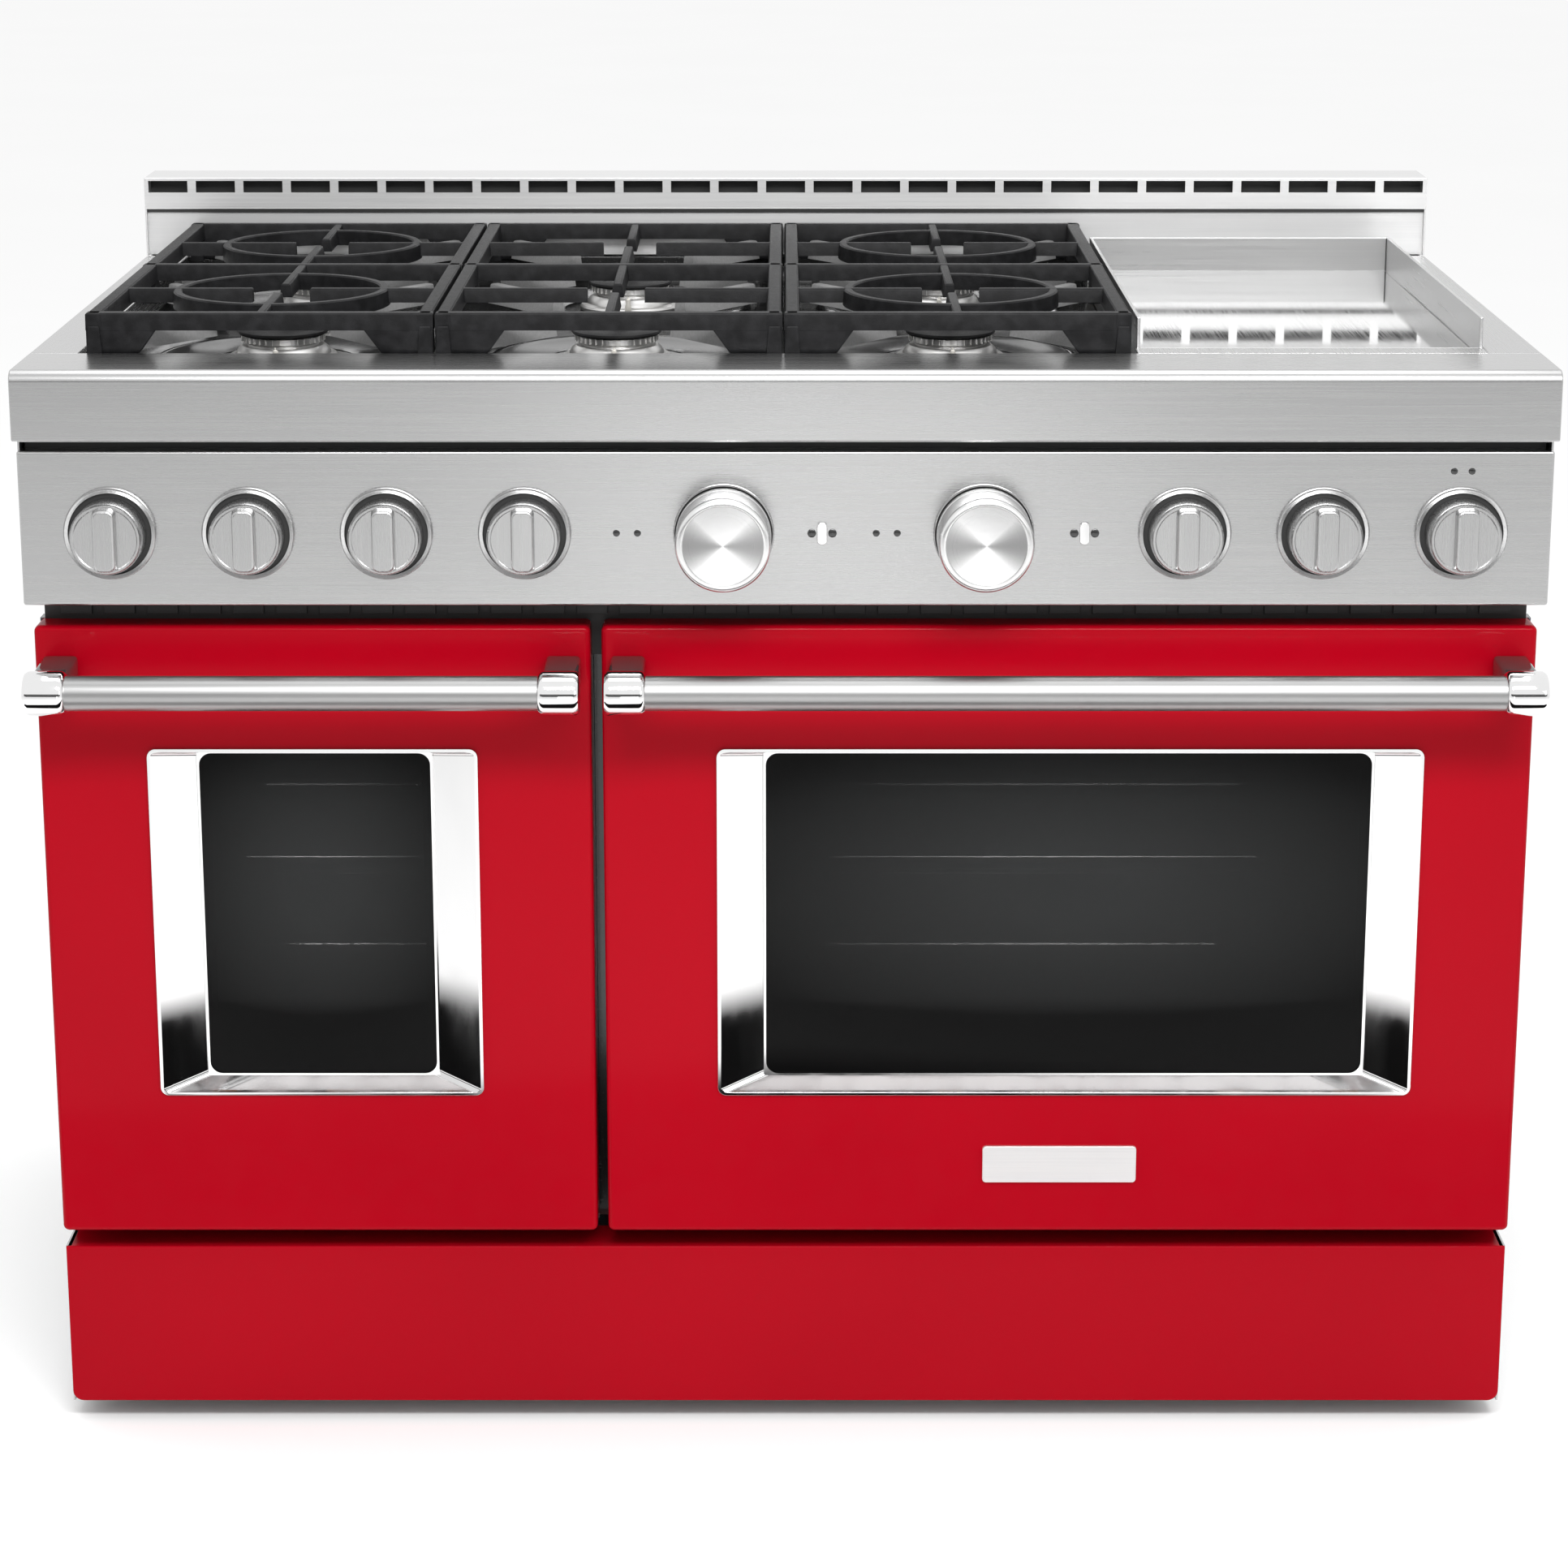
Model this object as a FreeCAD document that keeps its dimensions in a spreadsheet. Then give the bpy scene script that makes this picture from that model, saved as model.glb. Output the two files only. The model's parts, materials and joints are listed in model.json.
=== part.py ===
import FreeCAD, Part
import os
import Sketcher

# A freestanding gas range with six open burners, a griddle and two ovens.
# Millimetres, +Z up, the front faces -Y. The origin is on the floor, under the middle of the
# bounding box. Depths are counted backwards from the front edge of the landing ledge.

Vector = FreeCAD.Vector
doc = FreeCAD.newDocument("gas_range")

# ---------------------------------------------------------------- driving dimensions
dims = doc.addObject("Spreadsheet::Sheet", "dims")
sizes = {
    # overall
    "wide": 1216, "body_deep": 710, "ledge_height": 914, "guard_tall": 74,
    # sheet metal and gaps
    "sheet": 1.5, "liner_wall": 1.5, "plate": 3, "side_set": 2, "curved_gap": 0.5, "running": 0.05,
    # landing ledge and control panel
    "fascia_tall": 56, "ledge_deep": 86, "ledge_round": 9, "panel_set": 12, "panel_gap": 10,
    "panel_tall": 125, "panel_return": 26, "panel_end_set": 1,
    # doors
    "door_face": 37, "door_thick": 44, "skin_deep": 30, "vent_gap": 23, "door_bottom": 178,
    "door_side": 2.5, "door_gap": 9, "split_share": -0.1258, "door_round": 5, "frame_set": 88,
    "pivot_in": 24, "pivot_up": 12, "pin_radius": 5, "pin_reach": 13, "eye_radius": 9,
    "arm_thick": 6, "notch_gap": 2, "hinge_in": 60, "block_half": 17,
    # windows
    "window_shift": 2.5, "bezel_border": 180,
    "bezel_low": 300, "bezel_drop": 102, "bezel_side": 39.5,
    "bezel_foot": 14, "bezel_head": 7, "bezel_lip": 2.5, "bezel_proud": 2.5, "bezel_deep": 14,
    "glass_thick": 4, "glass_lap": 8,
    # handles
    "handle_reach": 68, "handle_drop": 38, "bar_radius": 14, "cap_radius": 18, "cap_long": 33,
    "cap_round": 3, "handle_end": 5, "post_radius": 13,
    # badge plate
    "badge_x": 228, "badge_z": 239, "badge_wide": 128, "badge_tall": 32, "badge_thick": 3,
    # kick panel and feet
    "kick_face": 48, "kick_top": 160, "kick_bottom": 19, "base_height": 55, "foot_radius": 22,
    "foot_thick": 10, "stem_radius": 8, "foot_in": 60,
    # ovens
    "oven_border": 118, "oven_low": 225, "oven_drop": 60,
    "oven_short": 200, "wool": 20, "rail_low": 172, "rail_lap": 16, "gasket_in": 6,
    "gasket_wide": 10, "rack_bar": 5, "rack_wire": 3, "rack_side_gap": 9, "rack_short": 60,
    "rack_pitch": 32, "rack_low_share": 0.253, "rack_high_share": 0.6145, "ladder_bar": 5,
    "lamp_radius": 22,
    "lamp_deep": 8, "lamp_drop": 45, "tube_radius": 12, "tube_bore": 10,
    # convection fan
    "fan_share": 0.47, "fan_radius": 70, "fan_deep": 14, "hub_radius": 15, "shaft_radius": 4,
    "blade_thick": 2, "cover_radius": 92, "cover_set": 28, "motor_radius": 45, "motor_deep": 36,
    # cooktop
    "side_ledge": 40, "well_deep": 30, "guard_deep": 60, "front_burner": 228,
    "rear_burner_set": 141, "base_radius": 46, "base_tall": 14, "head_radius": 34, "head_tall": 22,
    "cap_tall": 5, "burner_cap_radius": 38, "igniter_radius": 3, "igniter_tall": 18,
    # grates
    "grate_side_gap": 5, "grate_share": 0.247, "grate_gap": 1.5, "grate_sink": 1,
    "grate_tall": 33, "grate_bar": 13, "rail_tall": 18, "ring_radius": 91, "ring_thick": 9,
    "grate_front": 88, "grate_rear_gap": 4, "finger_stop": 30, "arch_in": 62,
    # griddle
    "griddle_set": 5.5, "griddle_gap": 3, "griddle_front": 112, "griddle_rear_gap": 56,
    "griddle_rise": 25, "griddle_sink": 6, "griddle_thick": 12, "trough_deep": 14,
    "trough_tall": 20,
    # knobs
    "knob_rise": 59, "knob_share": 0.09, "knob_in": 73, "left_knob_share": -0.0403,
    "right_knob_share": 0.1291, "skirt_radius": 29, "knob_face_radius": 27.5, "skirt_tall": 20,
    "knob_stand": 2, "grip_wide": 19, "grip_high": 50, "grip_out": 14, "grip_round": 3,
    "bezel_inner": 30, "bezel_outer": 37, "bezel_thick": 5, "oven_knob_radius": 38,
    "oven_knob_face": 32, "oven_knob_out": 50, "oven_knob_stand": 6, "oven_bezel_outer": 40,
    "stem_half": 4, "stem_out": 12, "valve_half": 12, "valve_back": 34,
    # buttons and indicators
    "left_button_share": 0.0238, "right_button_share": 0.1949, "button_wide": 8, "button_high": 18,
    "button_out": 3, "button_deep": 15, "lens_radius": 3, "lens_deep": 6, "lens_out": 1,
    # gas and power
    "pipe_radius": 10, "pipe_set": 60, "pipe_side": 20, "inlet_height": 100, "inlet_radius": 10.6,
    "inlet_long": 20, "inlet_set": 3, "rear_set": 26, "pipe_rear": 38, "power_in": 208,
    "power_height": 130,
    "power_wide": 90, "power_tall": 60, "power_deep": 20, "power_hole": 11,
    # back guard
    "slot_tall": 11, "slot_web": 8, "slot_drop": 3, "slot_count": 27,
    # small gaps, laps and shares that the makers below use
    "over": 5, "loose": 1, "fold_gap": 0.3, "hole_clear": 4, "vent_low": 100, "vent_high": 40,
    "vent_in": 80, "vent_wide": 10, "vent_count": 40, "kick_round": 9, "kick_lap": 6,
    "ledge_hem": 2, "flame_in": 30, "flame_front": 20, "guard_round": 0.8, "shaft_clear": 3,
    "rack_front": 12, "ladder_front": 30, "ladder_below": 40, "ladder_above": 60,
    "tube_front": 30, "tube_drop": 60, "tube_set": 60, "tube_gap": 4, "tube_short": 60,
    "tube_end": 10, "lamp_share": 0.375, "lamp_aside": 60, "fan_gap": 2, "bore_spare": 3,
    "inner_ring": 0.35, "outer_ring": 0.68, "cover_hole": 8, "leg_share": 0.6, "leg_half": 3,
    "arm_half": 6, "lip_share": 0.7, "block_front": 5, "block_above": 6, "base_rim": 5,
    "igniter_gap": 6, "finger_share": 0.8, "tray_sink": 1, "knob_bevel": 3, "dish_deep": 2,
    "valve_front": 4, "valve_tall": 16, "button_round": 0.4375, "pipe_end": 30,
    "gland_share": 0.7, "far_lens_share": 0.07, "near_lens_share": 0.0563, "lens_aside": 7,
    "lens_rise": 50,
}
for row, (alias, value) in enumerate(sizes.items(), 1):
    dims.set(f"A{row}", alias)
    dims.set(f"B{row}", str(value))
    dims.setAlias(f"B{row}", alias)

# ---------------------------------------------------------------- places worked out from them
at = doc.addObject("Spreadsheet::Sheet", "at")
places = {
    "guard_height": "dims.ledge_height + dims.guard_tall",
    "grate_rest": "dims.ledge_height - dims.grate_sink",
    "griddle_top": "dims.ledge_height + dims.griddle_rise",
    "griddle_plate_top": "dims.ledge_height - dims.griddle_sink",
    "door_top": "at.panel_low - dims.vent_gap",
    "rail_high": "at.door_top + dims.rail_lap",
    "oven_high": "at.door_top - dims.oven_drop",
    "handle_height": "at.door_top - dims.handle_drop",
    "bezel_high": "at.door_top - dims.bezel_drop",
    "knob_height": "at.panel_low + dims.knob_rise",
    "fan_height": "dims.oven_low + dims.fan_share * (at.oven_high - dims.oven_low)",
    "rack_low": "dims.oven_low + dims.rack_low_share * (at.oven_high - dims.oven_low)",
    "rack_high": "dims.oven_low + dims.rack_high_share * (at.oven_high - dims.oven_low)",
    "oven_deep": "dims.body_deep - dims.oven_short",
    "door_split": "dims.wide * dims.split_share",
    "small_window_x": "(at.left_low + at.left_high) / 2 - dims.window_shift",
    "large_window_x": "(at.right_low + at.right_high) / 2 + dims.window_shift",
    "small_bezel_wide": "at.left_high - at.left_low - dims.bezel_border",
    "large_bezel_wide": "at.right_high - at.right_low - dims.bezel_border",
    "small_oven_wide": "at.left_high - at.left_low - dims.oven_border",
    "large_oven_wide": "at.right_high - at.right_low - dims.oven_border",
    "knob_pitch": "dims.wide * dims.knob_share",
    "griddle_knob_x": "at.half - dims.knob_in",
    "oven_knob_left": "dims.wide * dims.left_knob_share",
    "oven_knob_right": "dims.wide * dims.right_knob_share",
    "button_left": "dims.wide * dims.left_button_share",
    "button_right": "dims.wide * dims.right_button_share",
    "power_x": "dims.power_in - at.half",
    "slot_pitch": "dims.wide / dims.slot_count",
    "slot_wide": "at.slot_pitch - dims.slot_web",
    "rack_deep": "at.oven_deep - dims.rack_short",
    "lamp_side": "at.large_oven_wide * dims.lamp_share",
    "grate_wide": "2 * at.well_side * dims.grate_share",
    "grate_low": "dims.grate_side_gap - at.well_side",
    "griddle_low": "at.grate_low + 3 * at.grate_wide + dims.griddle_set",
    "griddle_high": "at.well_side - dims.griddle_gap",
    "grate_rear": "dims.body_deep - dims.guard_deep - dims.grate_rear_gap",
    "griddle_rear": "dims.body_deep - dims.guard_deep - dims.griddle_rear_gap",
    "rear_burner": "dims.body_deep - dims.guard_deep - dims.rear_burner_set",
    "front_row": "at.front + dims.front_burner",
    "rear_row": "at.front + at.rear_burner",
    "grate_mid": "(dims.front_burner + at.rear_burner) / 2",
    "over": "dims.handle_reach + dims.cap_radius - dims.door_face",
    "front": "(at.over - dims.body_deep) / 2",
    "rear": "at.front + dims.body_deep",
    "half": "dims.wide / 2",
    "side_out": "at.half - dims.side_set",
    "side_in": "at.side_out - dims.sheet",
    "fascia_low": "dims.ledge_height - dims.fascia_tall",
    "panel_high": "at.fascia_low - dims.panel_gap",
    "panel_low": "at.panel_high - dims.panel_tall",
    "panel_face": "at.front + dims.panel_set",
    "door_front": "at.front + dims.door_face",
    "door_back": "at.door_front + dims.door_thick",
    "skin_back": "at.door_front + dims.skin_deep",
    "frame_face": "at.front + dims.frame_set",
    "oven_front": "at.frame_face + dims.sheet",
    "oven_rear": "at.oven_front + at.oven_deep",
    "pivot_y": "at.door_front + dims.pivot_in",
    "pivot_z": "dims.door_bottom + dims.pivot_up",
    "left_low": "dims.door_side - at.half",
    "left_high": "at.door_split - dims.door_gap / 2",
    "right_low": "at.door_split + dims.door_gap / 2",
    "right_high": "at.half - dims.door_side",
    "handle_y": "at.door_front - dims.handle_reach",
    "glass_low": "dims.bezel_low + dims.bezel_foot",
    "glass_high": "at.bezel_high - dims.bezel_head",
    "bezel_back": "at.door_front + dims.bezel_deep",
    "rear_face": "at.rear - dims.rear_set",
    "guard_face": "at.rear - dims.guard_deep",
    "ledge_back": "at.front + dims.ledge_deep",
    "well_floor": "dims.ledge_height - dims.well_deep",
    "well_side": "at.half - dims.side_ledge",
    "pan_high": "at.well_floor + dims.sheet",
    "burner_top": "at.pan_high + dims.head_tall",
    "grate_top": "at.grate_rest + dims.grate_tall",
    "rail_foot": "at.grate_top - dims.rail_tall",
    "griddle_y0": "at.front + dims.griddle_front",
    "griddle_y1": "at.front + at.griddle_rear",
    "plate_y0": "at.griddle_y0 + dims.plate + dims.trough_deep + dims.curved_gap",
    "plate_low": "at.griddle_plate_top - dims.griddle_thick",
    "fan_wall": "at.oven_rear - dims.cover_set",
    "pipe_y": "at.front + dims.pipe_set",
    "pipe_x": "at.side_in - dims.pipe_side",
    "pipe_back": "at.rear - dims.pipe_rear",
    "inlet_start": "at.rear - dims.inlet_set - dims.inlet_long",
}
for row, alias in enumerate(places, 1):
    at.set(f"A{row}", alias)
    at.setAlias(f"B{row}", alias)
for row, formula in enumerate(places.values(), 1):
    at.set(f"B{row}", "=" + formula)
doc.recompute()


def value(alias):
    """A size or a worked-out place, as a number."""
    return float((dims if alias in sizes else at).get(alias))


def bind(item, formulas):
    for prop, formula in formulas.items():
        item.setExpression(prop, str(formula))
    return item


# ---------------------------------------------------------------- ways to make a piece
def make_box(name, x, y, z):
    """A box between a low and a high formula on each axis."""
    return bind(doc.addObject("Part::Box", name), {
        "Placement.Base.x": x[0], "Placement.Base.y": y[0], "Placement.Base.z": z[0],
        "Length": f"({x[1]}) - ({x[0]})", "Width": f"({y[1]}) - ({y[0]})",
        "Height": f"({z[1]}) - ({z[0]})"})


def make_rod(name, axis, start, radius, length):
    """A cylinder that runs from its start point along X, Y or Z."""
    rod = doc.addObject("Part::Cylinder", name)
    turn = {"X": FreeCAD.Rotation(Vector(0, 1, 0), 90),
            "Y": FreeCAD.Rotation(Vector(1, 0, 0), -90), "Z": FreeCAD.Rotation()}[axis]
    rod.Placement = FreeCAD.Placement(Vector(), turn)
    return bind(rod, {"Placement.Base.x": start[0], "Placement.Base.y": start[1],
                      "Placement.Base.z": start[2], "Radius": radius, "Height": length})


def make_ball(name, centre, radius):
    ball = doc.addObject("Part::Sphere", name)
    return bind(ball, {"Placement.Base.x": centre[0], "Placement.Base.y": centre[1],
                       "Placement.Base.z": centre[2], "Radius": radius})


def join(name, pieces):
    fused = doc.addObject("Part::MultiFuse", name)
    fused.Shapes = pieces
    fused.Refine = True
    return fused


def cut(name, base, tools):
    """The base piece with every tool taken out of it."""
    result = doc.addObject("Part::Cut", name)
    result.Base = base
    result.Tool = tools[0] if len(tools) == 1 else join(name + "_tools", tools)
    return result


def group(name, pieces):
    """Separate solids that share one node."""
    bundle = doc.addObject("Part::Compound", name)
    bundle.Links = pieces
    return bundle


def origin_of(body, role):
    """A plane or an axis of the body's own origin."""
    return next(item for item in body.Origin.OriginFeatures if item.Role == role)


def outline_sketch(body, name, role, loops, offset=None):
    """A sketch of closed polygons whose corners are bound to formulas."""
    sketch = body.newObject("Sketcher::SketchObject", name)
    sketch.AttachmentSupport = (origin_of(body, role), "")
    sketch.MapMode = "FlatFace"
    if offset:
        sketch.setExpression("AttachmentOffset.Base.z", offset)
    edge = 0
    for loop in loops:
        count = len(loop)
        turns = [Vector(10 * (i in (1, 2)) + i, 10 * (i >= 2) + i, 0) for i in range(count)]
        for i in range(count):
            sketch.addGeometry(Part.LineSegment(turns[i], turns[(i + 1) % count]))
        for i in range(count):
            sketch.addConstraint(Sketcher.Constraint(
                "Coincident", edge + i, 2, edge + (i + 1) % count, 1))
        for i, corner in enumerate(loop):
            for kind, formula, start in zip(("DistanceX", "DistanceY"), corner, turns[i]):
                place = sketch.addConstraint(
                    Sketcher.Constraint(kind, -1, 1, edge + i, 1, float(start)))
                label = f"{kind[-1].lower()}{edge + i}"
                sketch.renameConstraint(place, label)
                sketch.setExpression(f"Constraints.{label}", str(formula))
        edge += count
    return sketch


def rectangle(x, y):
    return [(x[0], y[0]), (x[1], y[0]), (x[1], y[1]), (x[0], y[1])]


def pad(body, sketch, length, backwards=False, name="pad"):
    feature = body.newObject("PartDesign::Pad", name)
    feature.Profile = sketch
    feature.Reversed = backwards
    feature.setExpression("Length", str(length))
    doc.recompute()
    return feature


def pocket(body, sketch, length, name="pocket"):
    """A pocket that must take metal away: it is turned round if it points out of the solid."""
    before = body.Shape.Volume
    feature = body.newObject("PartDesign::Pocket", name)
    feature.Profile = sketch
    feature.setExpression("Length", str(length))
    doc.recompute()
    if body.Shape.Volume > before - 1e-3:
        feature.Reversed = True
        doc.recompute()
    assert body.Shape.Volume < before - 1e-3, f"{body.Name}: {name} cuts nothing"
    return feature


def edges_where(shape, wanted):
    return [f"Edge{i}" for i, edge in enumerate(shape.Edges, 1) if wanted(edge)]


def round_edges(body, wanted, radius, name="rounds"):
    doc.recompute()
    base = body.Tip
    feature = body.newObject("PartDesign::Fillet", name)
    feature.Base = (base, edges_where(base.Shape, wanted))
    feature.setExpression("Radius", str(radius))
    doc.recompute()
    assert "Up-to-date" in feature.State, f"{body.Name}: {name} fails"
    return feature


def along(edge, axis):
    ends = edge.valueAt(edge.LastParameter) - edge.valueAt(edge.FirstParameter)
    size = (abs(ends.x), abs(ends.y), abs(ends.z))
    return size["XYZ".index(axis)] > 0.999 * max(ends.Length, 1e-9)


def spin_body(name, outline):
    """A body of revolution about its own Y axis, from a (radius, y) outline."""
    body = doc.addObject("PartDesign::Body", name)
    sketch = outline_sketch(body, name + "_outline", "XY_Plane", [outline])
    turn = body.newObject("PartDesign::Revolution", name + "_turn")
    turn.Profile = sketch
    turn.ReferenceAxis = (sketch, ["V_Axis"])
    turn.Angle = 360
    doc.recompute()
    return body


def place(item, x, y, z):
    return bind(item, {"Placement.Base.x": x, "Placement.Base.y": y, "Placement.Base.z": z})


# ---------------------------------------------------------------- chassis
def base_pan():
    return make_box("base_pan", ("-at.side_in", "at.side_in"), ("at.frame_face", "at.rear_face"),
                    ("dims.base_height", "dims.base_height + dims.sheet"))


def leveling_feet():
    feet = []
    for side in ("-1", "1"):
        for y in ("at.frame_face + dims.foot_in", "at.rear_face - dims.foot_in"):
            number = len(feet)
            spot = (f"{side} * (at.side_in - dims.foot_in)", y)
            pad_disc = make_rod(f"foot_pad_{number}", "Z", (*spot, "0"), "dims.foot_radius",
                                "dims.foot_thick")
            stem = make_rod(f"foot_stem_{number}", "Z", (*spot, "dims.foot_thick"),
                            "dims.stem_radius", "dims.base_height - dims.foot_thick")
            feet.append(join(f"foot_{number}", [pad_disc, stem]))
    return group("leveling_feet", feet)


def side_panel(side, sign):
    """A side sheet, stepped back behind the doors."""
    name = f"{side}_side_panel"
    body = doc.addObject("PartDesign::Body", name)
    behind_panel = "at.panel_face + dims.sheet + dims.loose"
    outline = [("at.front + dims.kick_face + dims.sheet", "dims.kick_bottom"),
               ("at.rear", "dims.kick_bottom"),
               ("at.rear", "dims.ledge_height - dims.sheet"),
               (behind_panel, "dims.ledge_height - dims.sheet"),
               (behind_panel, "at.panel_low + dims.sheet"),
               ("at.frame_face", "at.panel_low + dims.sheet"),
               ("at.frame_face", "dims.kick_top"),
               ("at.front + dims.kick_face + dims.sheet", "dims.kick_top")]
    low = "at.side_in" if sign == "1" else "-at.side_out"
    sketch = outline_sketch(body, name + "_outline", "YZ_Plane", [outline], low)
    pad(body, sketch, "dims.sheet")
    return body


def rear_panel():
    """The back sheet, with a hole for the gas inlet and rows of vent slots."""
    body = doc.addObject("PartDesign::Body", "rear_sheet")
    frame = rectangle(("-at.side_in", "at.side_in"), ("dims.base_height", "dims.ledge_height"))
    pad(body, outline_sketch(body, "rear_outline", "XZ_Plane", [frame], "-at.rear_face"),
        "dims.sheet", True)
    low, high = "at.well_floor - dims.vent_low", "at.well_floor - dims.vent_high"
    vent = rectangle(("dims.vent_in - at.side_in", "dims.vent_in + dims.vent_wide - at.side_in"),
                     (low, high))
    cutter = pocket(body, outline_sketch(body, "rear_vent", "XZ_Plane", [vent], "-at.rear_face"),
                    "dims.sheet * 2")
    row = body.newObject("PartDesign::LinearPattern", "rear_vents")
    row.Originals = [cutter]
    row.Direction = (origin_of(body, "X_Axis"), [""])
    row.setExpression("Length", "2 * (at.side_in - dims.vent_in) - dims.vent_wide")
    row.setExpression("Occurrences", "dims.vent_count")
    body.Tip = row
    doc.recompute()
    hole = make_rod("inlet_hole", "Y", ("at.pipe_x", "at.rear_face - dims.over", "dims.inlet_height"),
                    "dims.inlet_radius + dims.hole_clear", "dims.sheet + 2 * dims.over")
    return cut("rear_panel", body, [hole])


def front_frame():
    """Rails and stiles around the two oven mouths."""
    deep = ("at.frame_face", "at.oven_front")
    across = ("-at.side_in", "at.side_in")
    middle = ("dims.oven_low", "at.oven_high")
    bars = [make_box("bottom_rail", across, deep, ("dims.rail_low", "dims.oven_low")),
            make_box("top_rail", across, deep, ("at.oven_high", "at.rail_high")),
            make_box("left_stile", (across[0], mouth("small", -1)), deep, middle),
            make_box("middle_stile", (mouth("small", 1), mouth("large", -1)), deep, middle),
            make_box("right_stile", (mouth("large", 1), across[1]), deep, middle)]
    return group("front_frame", bars)


def mouth(size, sign):
    """The X of one side of an oven's mouth."""
    return f"(at.{size}_window_x + {sign} * at.{size}_oven_wide / 2)"


def kick_panel():
    body = doc.addObject("PartDesign::Body", "kick_sheet")
    face = rectangle(("-at.side_out", "at.side_out"), ("dims.kick_bottom", "dims.kick_top"))
    sketch = outline_sketch(body, "kick_outline", "XZ_Plane", [face],
                            "-(at.front + dims.kick_face)")
    pad(body, sketch, "dims.sheet", True)
    round_edges(body, lambda edge: along(edge, "Y")
                and edge.CenterOfMass.z < value("kick_bottom") + 1, "dims.kick_round")
    shelf = make_box("kick_return", ("dims.loose - at.side_in", "at.side_in - dims.loose"),
                     ("at.front + dims.kick_face + dims.sheet", "at.frame_face + dims.kick_lap"),
                     ("dims.kick_top - dims.sheet", "dims.kick_top"))
    return join("kick_panel", [body, shelf])


def landing_ledge():
    """A folded sheet: rounded front fascia, flat top and two end plates."""
    body = doc.addObject("PartDesign::Body", "ledge_sheet")
    face, back = "at.front", "at.ledge_back"
    outline = [(face, "at.fascia_low"), (f"{face} + dims.ledge_round + dims.ledge_hem", "at.fascia_low"),
               (f"{face} + dims.ledge_round + dims.ledge_hem", "at.fascia_low + dims.sheet"),
               (f"{face} + dims.sheet", "at.fascia_low + dims.sheet"),
               (f"{face} + dims.sheet", "dims.ledge_height - dims.sheet"),
               (back, "dims.ledge_height - dims.sheet"), (back, "dims.ledge_height"),
               (face, "dims.ledge_height")]
    sketch = outline_sketch(body, "ledge_outline", "YZ_Plane", [outline], "-at.half")
    pad(body, sketch, "dims.wide")
    front, top, wall = value("front"), value("ledge_height"), value("sheet")
    for name, inset, radius in (("inside_bend", wall, "dims.ledge_round - dims.sheet"),
                                ("outside_bend", 0, "dims.ledge_round")):
        round_edges(body, lambda edge: along(edge, "X")
                    and abs(edge.CenterOfMass.y - front - inset) < 0.1
                    and abs(edge.CenterOfMass.z - top + inset) < 0.1, radius, name)
    ends = [make_box(f"ledge_end_{i}", x, (f"{face} + dims.ledge_round", back),
                     ("at.fascia_low + dims.sheet", "dims.ledge_height - dims.sheet"))
            for i, x in enumerate((("-at.half", "-at.side_out - dims.fold_gap"),
                                   ("at.side_out + dims.fold_gap", "at.half")))]
    return join("landing_ledge", [body] + ends)


def cooktop_pan():
    """The burner well: a floor sheet inside a raised border."""
    low, high = "at.well_floor", "dims.ledge_height"
    back = "at.guard_face"
    wall = "dims.sheet"
    floor = make_box("well_sheet", ("-at.well_side", "at.well_side"), ("at.ledge_back", back),
                     (low, "at.pan_high"))
    flame_gap = make_box("flame_gap",
                         ("at.griddle_low + dims.flame_in", "at.griddle_high - dims.flame_in"),
                         ("at.plate_y0 + dims.flame_front", "at.griddle_y1 - dims.flame_in"),
                         (f"{low} - 1", "at.pan_high + 1"))
    pieces = [
        cut("well_floor_sheet", floor, [flame_gap]),
        make_box("well_front", ("-at.well_side", "at.well_side"),
                 ("at.ledge_back", f"at.ledge_back + {wall}"), ("at.pan_high", high)),
        make_box("well_left", ("-at.well_side", f"{wall} - at.well_side"),
                 (f"at.ledge_back + {wall}", back), ("at.pan_high", high)),
        make_box("well_right", (f"at.well_side - {wall}", "at.well_side"),
                 (f"at.ledge_back + {wall}", back), ("at.pan_high", high)),
        make_box("left_ledge", ("-at.half", "-at.well_side"), ("at.ledge_back", back),
                 (f"{high} - {wall}", high)),
        make_box("right_ledge", ("at.well_side", "at.half"), ("at.ledge_back", back),
                 (f"{high} - {wall}", high))]
    return group("cooktop_pan", pieces)


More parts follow.
